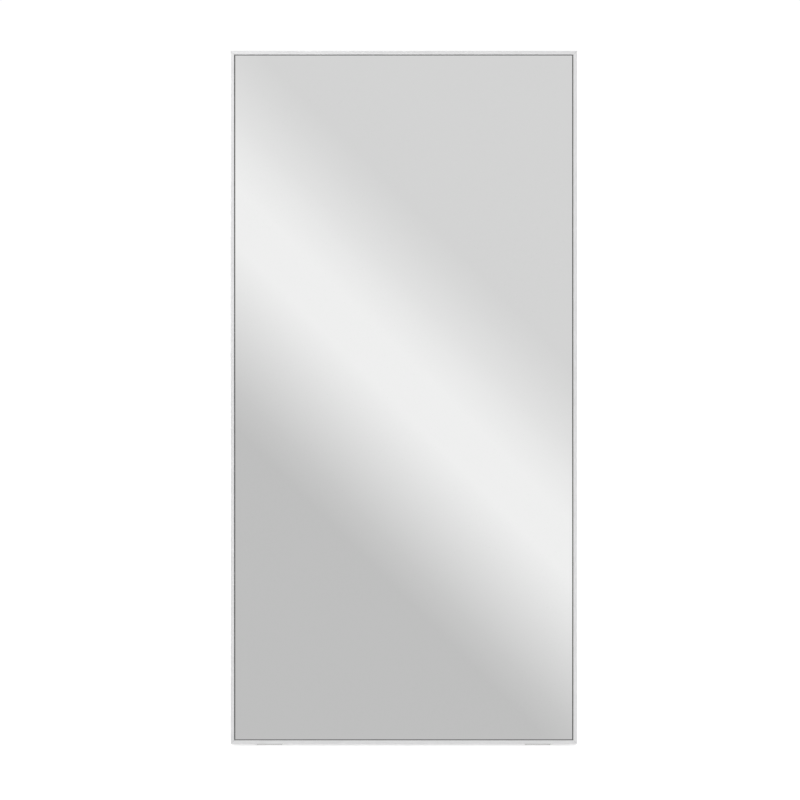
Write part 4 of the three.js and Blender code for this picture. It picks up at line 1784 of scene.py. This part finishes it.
@dataclass
class Feet(Assembly):
    """The two rubber pads under the frame."""

    end: float = 1.5 * MM  # length of a pad's soft end
    end_share: float = 0.4  # of it, where the rounding turns
    end_inset: float = 0.6 * MM
    turn_inset: float = 0.2 * MM
    groove: float = 0.5 * MM
    groove_mouth: float = 0.9 * MM
    groove_floor: float = 0.6 * MM
    pitch: float = 6 * MM
    gap: float = 0.3 * MM  # below the rail
    front_corner: float = 0.8 * MM
    rear_corner: float = 0.6 * MM
    top_corner: float = 0.3 * MM
    stem: float = 2.2 * MM
    stem_root: float = 1 * MM
    barb: float = 0.5 * MM
    wall: float = 1.9 * MM  # the rail's wall and the barb's gap above it
    barb_low: float = 0.1 * MM
    barb_high: float = 0.3 * MM
    point: float = 0.8  # of the stem's radius
    facets: int = 32

    def build(self) -> None:
        """Replaces both pads."""
        for side in Side:
            self.make_pad(side)

    def section(self, box: Box, sole: Callable[[float], float], inset: float, groove: float) -> Loop:
        """The pad's section in Y and Z.

        Args:
            box: the pad's box.
            sole: the sole's height at a depth.
            inset: how far the section is drawn in.
            groove: how deep the sole is cut here.

        Returns:
            The section's points.
        """
        front, rear = box.low.y + inset, box.high.y - inset
        top = -self.gap - inset * 0.5
        lift = inset + groove
        corners = [
            (front, sole(front) + lift, self.front_corner),
            (rear, sole(rear) + lift, self.rear_corner),
            (rear, top, self.top_corner),
            (front, top, self.top_corner),
        ]
        return rounded(corners, 4)

    def stations(self, length: float) -> list[tuple[float, float, float]]:
        """Where a pad's section changes along it.

        Args:
            length: the pad's length.

        Returns:
            (place, inset, depth of the groove) of each section, in order.
        """
        ends = [
            (0.0, self.end_inset, 0.0),
            (self.end * self.end_share, self.turn_inset, 0.0),
            (self.end, 0.0, 0.0),
        ]
        count = int((length - 4 * self.end) / self.pitch)
        first = (length - count * self.pitch) / 2 + self.pitch / 2
        cuts = grooves(first, self.pitch, count, self.groove_mouth, self.groove_floor, self.groove)
        middle = [(x, 0.0, depth) for x, depth in cuts]
        return ends + middle + [(length - x, inset, depth) for x, inset, depth in reversed(ends)]

    def make_pad(self, side: Side) -> None:
        """Replaces a pad by one with a grooved sole, soft ends and a barbed stem.

        Args:
            side: the pad's side.
        """
        node = f"foot_pad_{side.label}"
        box = self.axes.box(node)
        start = self.axes.box("rail_bottom").low.z
        slope = -math.tan(self.axes.tilt)
        floor = self.axes.matrix.inverted() @ Vector((0, 0, 0))
        base = floor.z - self.axes.matrix.translation.z

        def sole(y: float) -> float:
            """The height of the floor below the rail's underside, at a depth."""
            return base + (y - floor.y) * slope - start

        rings = []
        for x, inset, depth in self.stations(box.size.x):
            loop = self.section(box, sole, inset, depth)
            rings.append([Vector((box.low.x + x, y, start + z)) for y, z in loop])
        top = start + self.wall
        barb = self.stem + self.barb
        profile = [
            (0, start - self.stem_root),
            (self.stem, start - self.stem_root),
            (self.stem, top),
            (barb, top + self.barb_low),
            (barb, top + self.barb_high),
            (self.stem * self.point, box.high.z),
            (0, box.high.z),
        ]
        stem = turned(profile, "stem", self.facets)
        stem.transform(Matrix.Translation((box.centre.x, self.channel(), 0)))
        mesh = combine(loft(rings, node), [stem], "UNION")
        self.put(node + "_moulded", mesh, self.palette.pad, "foot_rubber", node)

    def channel(self) -> float:
        """The depth of the rails' rear channel, which the stems share with the corner keys."""
        return self.axes.box("corner_key_bottom_left").centre.y


# ---- The hinges ------------------------------------------------------------------------------


@dataclass
class Hinges(Assembly):
    """The brackets, bolts, nuts and washers that hold the stand."""

    base: float = 2 * MM
    cheek: float = 2 * MM
    cheek_gap: float = 0.3 * MM  # between a washer and its cheek
    foot: float = 15 * MM
    eye_half: float = 9 * MM
    corner: float = 3 * MM
    screw_spread: float = 60 * MM
    screw_hole: float = 2.3 * MM
    bolt_hole: float = 3.3 * MM
    bolt: float = 3 * MM
    bolt_head: float = 2.6 * MM
    edge: float = 0.25 * MM
    bead: float = 0.9 * MM
    bead_steps: int = 44
    bead_ripples: int = 14
    bead_swell: float = 0.1
    bead_end: float = 0.25  # of the bead's size, at its ends
    bead_margin: float = 0.6 * MM
    bead_sunk: float = 0.3 * MM

    def build(self) -> None:
        """Replaces the hardware on both sides."""
        pivot = self.axes.matrix.inverted() @ Vector(frame["joints"][0]["pos_m"])
        for side in Side:
            self.make_bracket(side, pivot)
            self.make_pin(side, pivot)

    def make_bracket(self, side: Side, pivot: Vector) -> None:
        """Replaces a bracket by one with eased plates and weld beads.

        Args:
            side: the bracket's side.
            pivot: the middle of the hinge line, in the leaning frame's axes.
        """
        node = f"hinge_bracket_{side.label}"
        box = self.axes.box(node)
        holes = [circle(0, way * self.screw_spread / 2, self.screw_hole, 32) for way in (-1, 1)]
        outline = rectangle(box.size.x, box.size.z, self.corner)
        base = upright(plate([outline, *holes], self.base, "base", self.edge), self.base)
        inner = self.axes.box(f"washer_{side.label}_inner")
        outer = self.axes.box(f"washer_{side.label}_outer")
        stack = abs(outer.centre.x - inner.centre.x) + inner.size.x
        cheek_x = stack / 2 + self.cheek_gap + self.cheek / 2
        rise = pivot.y - box.low.y
        loops = [self.cheek_outline(rise), circle(rise, 0, self.bolt_hole)]
        cheeks, beads = [], []
        for way in (-1, 1):
            cheek = plate(loops, self.cheek, "cheek", self.edge)
            cheeks.append(sideways(cheek, self.cheek, way * cheek_x))
            beads.append(self.make_bead(way * (cheek_x + self.cheek / 2), way))
        mesh = combine(combine(base, cheeks, "UNION"), beads, "UNION")
        at = Matrix.Translation(((inner.centre.x + outer.centre.x) / 2, box.low.y, pivot.z))
        self.put(node + "_welded", mesh, self.palette.steel, "zinc_steel", node, at)

    def cheek_outline(self, rise: float) -> Loop:
        """A cheek's outline in Y and Z: a foot on the base, and a round end about the pivot.

        Args:
            rise: the pivot's height above the base's underside.

        Returns:
            The outline's points.
        """
        foot_y = self.base / 2
        reach = math.hypot(rise - foot_y, self.foot)
        slant = math.atan2(self.foot, rise - foot_y) + math.acos(self.eye_half / reach)
        tangent = 180 - math.degrees(slant)
        end = arc(rise, 0, self.eye_half, -tangent, tangent, 36)
        return [(foot_y, self.foot), (foot_y, -self.foot), *end]

    def make_bead(self, x: float, way: int) -> bpy.types.Mesh:
        """A rippled weld bead along a cheek's foot.

        Args:
            x: the cheek's outer face.
            way: which way the bead lies from it.

        Returns:
            The bead's mesh.
        """
        rings = []
        for i in range(self.bead_steps + 1):
            share = i / self.bead_steps
            z = (2 * share - 1) * (self.foot - self.bead_margin)
            ripple = 1 + self.bead_swell * math.cos(share * math.tau * self.bead_ripples)
            r = self.bead * ripple * (self.bead_end if i in (0, self.bead_steps) else 1)
            ring = [Vector((x - way * self.bead_sunk, self.base - self.bead_sunk, z))]
            ring += [Vector((x + way * px, self.base + py, z)) for px, py in arc(0, 0, r, 0, 90, 6)]
            rings.append(ring)
        return loft(rings, "bead")

    def make_pin(self, side: Side, pivot: Vector) -> None:
        """Replaces a bolt, its nut and its washers.

        Args:
            side: the hinge's side.
            pivot: the middle of the hinge line, in the leaning frame's axes.
        """
        steel, nylon = self.palette.steel, self.palette.nylon
        way = side.value
        outwards = Matrix.Rotation(way * math.pi / 2, 4, "Y")
        inwards = Matrix.Rotation(-way * math.pi / 2, 4, "Y")
        node = f"pivot_bolt_{side.label}"
        box = self.axes.box(node)
        seat = (box.high.x if way > 0 else box.low.x) - way * self.bolt_head
        at = Matrix.Translation((seat, pivot.y, pivot.z))
        bolt = ButtonBolt(box.size.x - self.bolt_head, self.bolt, box.size.z / 2, self.bolt_head)
        self.put(node + "_button_head", bolt.build(), steel, "zinc_steel", node, at, outwards)
        node = f"lock_nut_{side.label}"
        box = self.axes.box(node)
        at = Matrix.Translation((box.high.x if way > 0 else box.low.x, pivot.y, pivot.z))
        nut = LockNut()
        self.put(node + "_body", nut.body(), steel, "zinc_steel", node, at, inwards)
        self.put(node + "_insert", nut.insert(), self.palette.ring, "washer_nylon", node, at, inwards)
        for end in ("inner", "outer"):
            node = f"washer_{side.label}_{end}"
            box = self.axes.box(node)
            washer = make_washer(self.bolt_hole, box.size.z / 2, box.size.x)
            at = Matrix.Translation((box.centre.x, pivot.y, pivot.z))
            self.put(node + "_turned", washer, nylon, "washer_nylon", node, at, outwards)


# ---- The stand -------------------------------------------------------------------------------


@dataclass
class Stand(Assembly):
    """The U-shaped stand: its tube, welded eyes and rubber shoes.

    Args:
        opening: the angle between the stand and the frame, in radians.
    """

    body: str = "stand"
    opening: float = field(kw_only=True)
    tube: float = 8 * MM
    wall: float = 1.2 * MM
    bend: float = 50 * MM
    bend_steps: int = 28
    facets: int = 56
    cut_ease: float = 0.3 * MM  # at the tube's ends
    neck: float = 18 * MM
    collar: float = 6 * MM
    spigot: float = 6.5 * MM
    spigot_lead: float = 1 * MM
    plug_gap: float = 0.3 * MM
    plug_ease: float = 0.6 * MM
    heel: float = 8 * MM
    heel_corner: float = 1.2 * MM
    brow_corner: float = 0.8 * MM
    neck_corner: float = 0.5 * MM
    eye: float = 5 * MM
    eye_corner: float = 5 * MM
    eye_edge: float = 0.35 * MM
    bolt_hole: float = 3.3 * MM
    # The plug's shoulder: how far below its top and how far in from its side each turn lies.
    shoulder: tuple[Point, ...] = (
        (1.6 * MM, 0.0),
        (0.7 * MM, 0.5 * MM),
        (0.1 * MM, 1.8 * MM),
        (0.0, 3 * MM),
    )
    weld: float = 0.75 * MM
    weld_steps: int = 192
    weld_sides: int = 10
    weld_ripples: int = 26
    weld_swell: float = 0.12
    weld_sunk: float = 0.05 * MM
    weld_lift: float = 0.5 * MM
    weld_height: float = 1.6  # of its width
    shoe_bore: float = 8.3 * MM
    shoe_bore_flare: float = 0.4 * MM
    shoe_bore_lead: float = 0.5 * MM
    shoe_margin: float = 14 * MM  # of its length without ribs, both ends together
    shoe_pitch: float = 5 * MM
    shoe_groove: float = 0.55 * MM
    shoe_mouth: float = 1 * MM
    shoe_floor: float = 0.6 * MM
    sole_corner: float = 2.5 * MM
    # The shoe's rounded end: how far along and how far in each turn lies.
    shoe_end: tuple[Point, ...] = (
        (0.0, 1.4 * MM),
        (0.35 * MM, 0.7 * MM),
        (1.1 * MM, 0.2 * MM),
        (2.2 * MM, 0.0),
    )

    def build(self) -> None:
        """Replaces the stand's pieces."""
        self.make_tube()
        for side in Side:
            self.make_eye(side)
            self.make_shoe(side)

    def make_tube(self) -> None:
        """Replaces the tube by a smooth one, with a chamfer inside each cut end."""
        box = self.axes.box("stand_tube")
        leg = box.high.x - self.tube
        bar = box.low.z + self.tube
        path = [(Vector((-leg, 0, box.high.z)), 0.0)]
        for way, first, last in ((-1, 0, 90), (1, 90, 0)):
            for i in range(self.bend_steps + 1):
                turn = math.radians(first + (last - first) * i / self.bend_steps)
                x = way * (leg - self.bend + self.bend * math.cos(turn))
                z = bar + self.bend - self.bend * math.sin(turn)
                path.append((Vector((x, 0, z)), turn if way < 0 else math.pi - turn))
        path.append((Vector((leg, 0, box.high.z)), math.pi))
        hollow = self.tube - self.wall
        start, end = self.cut_end(*path[0]), self.cut_end(*path[-1])
        outside = [self.ring(point, turn, self.tube) for point, turn in path[1:-1]]
        inside = [self.ring(point, turn, hollow) for point, turn in reversed(path[1:-1])]
        rings = [*start[:2], *outside, end[1], end[0], end[3], end[2], *inside, *start[2:]]
        mesh = loft(rings, "stand_tube", ends=False)
        self.put("stand_tube_bent", mesh, self.palette.coat, "stand_coating", "stand_tube")

    def cut_end(self, point: Vector, turn: float) -> list[list[Vector]]:
        """The rings of a cut end of the tube.

        Args:
            point: the end's middle.
            turn: how far the path has turned from straight down.

        Returns:
            The rings of its outer edge, outer wall, inner wall and inner edge.
        """
        lower = point - Vector((0, 0, self.cut_ease))
        hollow = self.tube - self.wall
        return [
            self.ring(point, turn, self.tube - self.cut_ease),
            self.ring(lower, turn, self.tube),
            self.ring(lower, turn, hollow),
            self.ring(point, turn, hollow + self.cut_ease),
        ]

    def ring(self, point: Vector, turn: float, radius: float) -> list[Vector]:
        """A ring of points square to the tube's path.

        Args:
            point: the ring's middle.
            turn: how far the path has turned from straight down.
            radius: the ring's radius.

        Returns:
            The points.
        """
        across = Vector((math.cos(turn), 0, math.sin(turn)))
        depth = Vector((0, 1, 0))
        angles = [math.tau * i / self.facets for i in range(self.facets)]
        return [point + across * (radius * math.cos(a)) + depth * (radius * math.sin(a)) for a in angles]

    def make_eye(self, side: Side) -> None:
        """Replaces an eye by a plate welded to a turned plug.

        Args:
            side: the eye's side.
        """
        node = f"stand_eye_{side.label}"
        box = self.axes.box(node)
        half, high = box.high.y, box.high.z
        low = high - self.heel * math.cos(self.opening)
        lead = self.heel * math.sin(self.opening)
        root = -self.neck - self.collar / 2
        corners = [
            (-half, -self.neck, self.neck_corner),
            (-self.tube / 2, root, 0),
            (self.tube / 2, root, 0),
            (half, -self.neck, self.neck_corner),
            (half, high, self.eye_corner),
            (lead - half, high, self.brow_corner),
            (-half, low, self.heel_corner),
        ]
        loops = [rounded(corners, 8), circle(0, 0, self.bolt_hole, 44)]
        tongue = sideways(plate(loops, self.eye, "tongue", self.eye_edge), self.eye)
        end = -self.neck - self.collar
        profile = [
            (0, box.low.z),
            (self.spigot - self.spigot_lead, box.low.z),
            (self.spigot, box.low.z + self.spigot_lead),
            (self.spigot, end + self.plug_gap),
            (self.tube - self.plug_ease, end + self.plug_gap),
            (self.tube, end + self.plug_gap + self.plug_ease),
            *((self.tube - inset, -self.neck - drop) for drop, inset in self.shoulder),
            (0, -self.neck),
        ]
        plug = turned(profile, "plug", self.facets)
        mesh = combine(tongue, [plug, self.make_weld(end)], "UNION")
        at = Matrix.Translation((box.centre.x, 0, 0))
        self.put(node + "_welded", mesh, self.palette.coat, "stand_coating", node, at)

    def make_weld(self, z: float) -> bpy.types.Mesh:
        """The rippled weld bead round the joint of the eye and the tube.

        Args:
            z: the joint's height.

        Returns:
            The bead's mesh.
        """
        rings = []
        for i in range(self.weld_steps):
            angle = math.tau * i / self.weld_steps
            swell = self.weld * (1 + self.weld_swell * math.cos(angle * self.weld_ripples))
            ring = []
            for j in range(self.weld_sides):
                turn = math.tau * j / self.weld_sides
                r = self.tube - self.weld_sunk + swell * math.cos(turn)
                height = z + self.weld_lift + self.weld_height * swell * math.sin(turn)
                ring.append(Vector((r * math.cos(angle), r * math.sin(angle), height)))
            rings.append(ring)
        return loft(rings, "weld", ends=False)

    def make_shoe(self, side: Side) -> None:
        """Replaces a shoe by a ribbed one. It is level, so it is made in the frame's own axes.

        Args:
            side: the shoe's side.
        """
        node = f"stand_shoe_{side.label}"
        low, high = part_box(node)
        centre = (low + high) / 2
        radius = (high.z - low.z) / 2
        length = high.x - low.x
        count = int((length - self.shoe_margin) / self.shoe_pitch)
        first = (length - (count - 1) * self.shoe_pitch) / 2
        sizes = (self.shoe_mouth, self.shoe_floor, self.shoe_groove)
        stations = [*self.shoe_end, *grooves(first, self.shoe_pitch, count, *sizes)]
        stations += [(length - x, inset) for x, inset in reversed(self.shoe_end)]
        rings = [self.saddle(low.x + x, centre, radius, inset) for x, inset in stations]
        wide, lead = self.shoe_bore + self.shoe_bore_flare, self.shoe_bore_lead
        bore = ((high.x, wide), (high.x - lead, self.shoe_bore), (low.x + lead, self.shoe_bore))
        for x, r in (*bore, (low.x, wide)):
            ring = []
            for point in rings[0]:
                angle = math.atan2(point.z - centre.z, point.y - centre.y)
                ring.append(Vector((x, centre.y + r * math.cos(angle), centre.z + r * math.sin(angle))))
            rings.append(ring)
        mesh = loft(rings, node, ends=False)
        place = Place(Matrix.Identity(4), self.body, "shoe_rubber", (node,))
        fit(node + "_ribbed", mesh, self.palette.rubber, place)

    def saddle(self, x: float, centre: Vector, radius: float, inset: float) -> list[Vector]:
        """A shoe's section: round above, with a flat sole.

        Args:
            x: where the section is.
            centre: the middle of the bar.
            radius: the section's radius, and the sole's drop.
            inset: how far it is drawn in.

        Returns:
            The section's points.
        """
        r = radius - inset
        soft = self.sole_corner
        section = [
            *arc(0, 0, r, 0, 180, 36),
            *((-r, -r * share) for share in (0.25, 0.5)),
            *arc(-r + soft, -r + soft, soft, 180, 270, 6),
            *(((-r + soft) * (1 - t) + (r - soft) * t, -r) for t in (0.2, 0.4, 0.6, 0.8)),
            *arc(r - soft, -r + soft, soft, 270, 360, 6),
            *((r, -r * share) for share in (0.5, 0.25)),
        ]
        return [Vector((x, centre.y + y, centre.z + z)) for y, z in section]


# ---- The studio ------------------------------------------------------------------------------


@dataclass(frozen=True)
class Lamp:
    """A square soft box.

    Args:
        name: its name.
        place: where it hangs, in metres.
        size: the length of its side, in metres.
        power: its power, in watts.
        glossy: whether reflections show it.
    """

    name: str
    place: tuple[float, float, float]
    size: float
    power: float
    glossy: bool = True


@dataclass
class Studio:
    """The floor, the light and the camera.

    Args:
        axes: the leaning frame's axes, which the camera faces squarely.
    """

    axes: Axes
    distance: float = 7.0
    height_share: float = 0.8664  # of the view's height, that the frame takes
    right: float = 0.0047  # of the view's width, that the frame stands off its middle
    up: float = 0.0032
    sensor: float = 36.0
    clip_end: float = 200
    floor_radius: float = 60.0
    floor_drop: float = 0.2 * MM
    floor_tone: float = 0.88
    floor_rough: float = 0.7
    floor_shine: float = 0.1
    floor_glow: float = 0.58
    wall_white: float = 1.02
    # Tones of the graded wall in front of the mirror, by metres along its diagonal at the mirror.
    wall: tuple[tuple[float, float], ...] = (
        (-0.46, 0.58),
        (-0.37, 0.64),
        (-0.25, 0.757),
        (-0.115, 0.892),
        (-0.035, 0.963),
        (0.10, 0.963),
        (0.20, 0.90),
        (0.27, 0.84),
        (0.38, 0.768),
        (0.46, 0.728),
    )
    wall_light: float = 0.85
    room_low: float = 0.40
    room_high: float = 0.62
    lamps: tuple[Lamp, ...] = (
        Lamp("key", (-3.2, -3.4, 3.6), 3.0, 60),
        Lamp("back", (2.8, 4.2, 3.0), 2.6, 60),
        Lamp("low_fill", (0, -5.0, 0.7), 2.4, 80, glossy=False),
    )

    def build(self) -> None:
        """Sets up the studio."""
        self.make_floor()
        self.make_wall()
        for lamp in self.lamps:
            self.make_lamp(lamp)
        self.make_camera()
        view = bpy.context.scene.view_settings
        view.view_transform = "Standard"
        view.look = "None"

    def front(self) -> tuple[Vector, float]:
        """The middle of the frame's front face, and its height.

        Returns:
            The point, in the frame's axes, and the height in metres.
        """
        boxes = [self.axes.box(f"rail_{name}") for name in RAILS]
        low = min(box.low.z for box in boxes)
        high = max(box.high.z for box in boxes)
        face = min(box.low.y for box in boxes)
        return self.axes.matrix @ Vector((0, face, (low + high) / 2)), high - low

    @staticmethod
    def aim(piece: bpy.types.Object, place: Vector, way: Vector) -> None:
        """Puts a lamp or a camera in the scene.

        Args:
            piece: the lamp or camera.
            place: where it stands.
            way: where it points.
        """
        piece.location = place
        piece.rotation_mode = "QUATERNION"
        piece.rotation_quaternion = way.to_track_quat("-Z", "Y")
        bpy.context.scene.collection.objects.link(piece)

    def make_camera(self) -> None:
        """Puts the camera square to the mirror."""
        target, height = self.front()
        towards = self.axes.matrix.to_3x3() @ Vector((0, 1, 0))
        camera = bpy.data.cameras.new("camera")
        camera.sensor_width = self.sensor
        camera.lens = self.sensor * self.distance * self.height_share / height
        camera.shift_x = -self.right
        camera.shift_y = -self.up
        camera.clip_end = self.clip_end
        eye = bpy.data.objects.new("camera", camera)
        self.aim(eye, target - towards * self.distance, towards)
        bpy.context.scene.camera = eye

    def make_floor(self) -> None:
        """Lays a plain white floor."""
        bm = bmesh.new()
        bmesh.ops.create_circle(bm, cap_ends=True, radius=self.floor_radius, segments=96)
        floor = bpy.data.objects.new("floor", mesh_of(bm, "floor"))
        floor.location.z = -self.floor_drop
        material = bpy.data.materials.new("white_floor")
        material.use_nodes = True
        shader = material.node_tree.nodes["Principled BSDF"]
        shader.inputs["Base Color"].default_value = (*(self.floor_tone,) * 3, 1)
        shader.inputs["Roughness"].default_value = self.floor_rough
        shader.inputs["Specular IOR Level"].default_value = self.floor_shine
        shader.inputs["Emission Strength"].default_value = self.floor_glow
        w = Wiring(material.node_tree)
        seen = w.node("LightPath").outputs["Is Camera Ray"]
        w.tree.links.new(seen, shader.inputs["Emission Color"])
        floor.data.materials.append(material)
        bpy.context.scene.collection.objects.link(floor)

    def make_wall(self) -> None:
        """Makes the studio's white surround, with a diagonal glow on its far wall."""
        world = bpy.data.worlds.new("studio")
        world.use_nodes = True
        world.node_tree.nodes.clear()
        bpy.context.scene.world = world
        w = Wiring(world.node_tree)
        way = w.node("TexCoord").outputs["Generated"]
        turn = self.axes.matrix.to_3x3()
        ahead, across, above = (
            w.vector("DOT_PRODUCT", way, turn @ Vector(axis), scalar=True)
            for axis in ((0, -1, 0), (1, 0, 0), (0, 0, 1))
        )
        diagonal = w.maths("DIVIDE", w.maths("ADD", across, above), w.maths("MAXIMUM", ahead, 0.05))
        reach = self.wall[-1][0] - self.wall[0][0]
        start = self.wall[0][0] / self.distance
        share = w.scaled(diagonal, by=self.distance / reach, plus=-start * self.distance / reach)
        ramp = w.node("ValToRGB", {"Fac": share})
        stops = ramp.color_ramp.elements
        while len(stops) < len(self.wall):
            stops.new(0.5)
        for stop, (metres, tone) in zip(stops, self.wall):
            stop.position = (metres - self.wall[0][0]) / reach
            stop.color = (tone, tone, tone, 1)
        height = w.node("SeparateXYZ", {0: way}).outputs["Z"]
        rise = w.span(height, low=-0.1, high=0.8)
        room = w.blend(rise, (self.room_low,) * 3, (self.room_high,) * 3)
        around = w.blend(w.span(ahead, low=0.2, high=0.9), room, (self.wall_light,) * 3)
        lit = w.blend(w.span(ahead, low=0.93, high=0.975), around, ramp.outputs["Color"])
        seen = w.node("LightPath").outputs["Is Camera Ray"]
        colour = w.blend(seen, lit, (self.wall_white,) * 3)
        background = w.node("Background", {"Color": colour})
        out = w.node("OutputWorld")
        w.tree.links.new(background.outputs[0], out.inputs["Surface"])

    def make_lamp(self, lamp: Lamp) -> None:
        """Hangs a lamp that points at the mirror.

        Args:
            lamp: the lamp.
        """
        light = bpy.data.lights.new(lamp.name, "AREA")
        light.shape = "SQUARE"
        light.size = lamp.size
        light.energy = lamp.power
        hung = bpy.data.objects.new(lamp.name, light)
        hung.visible_camera = False
        hung.visible_glossy = lamp.glossy
        place = Vector(lamp.place)
        self.aim(hung, place, self.front()[0] - place)


def main() -> None:
    """Builds the mirror and its studio, in order."""
    leaning = mirror_axes()
    standing = stand_axes()
    opening = standing.tilt - leaning.tilt
    palette = Palette.mix(leaning.tilt)
    for assembly in (
        Studio(leaning),
        GlazedFrame(leaning, palette),
        Fixings(leaning, palette),
        Feet(leaning, palette),
        Hinges(leaning, palette),
        Stand(standing, palette, opening=opening),
    ):
        log.info("building %s", type(assembly).__name__)
        assembly.build()


if __name__ == "__main__":
    logging.basicConfig(level=logging.INFO, format="%(name)s: %(message)s", stream=sys.stdout)
    main()
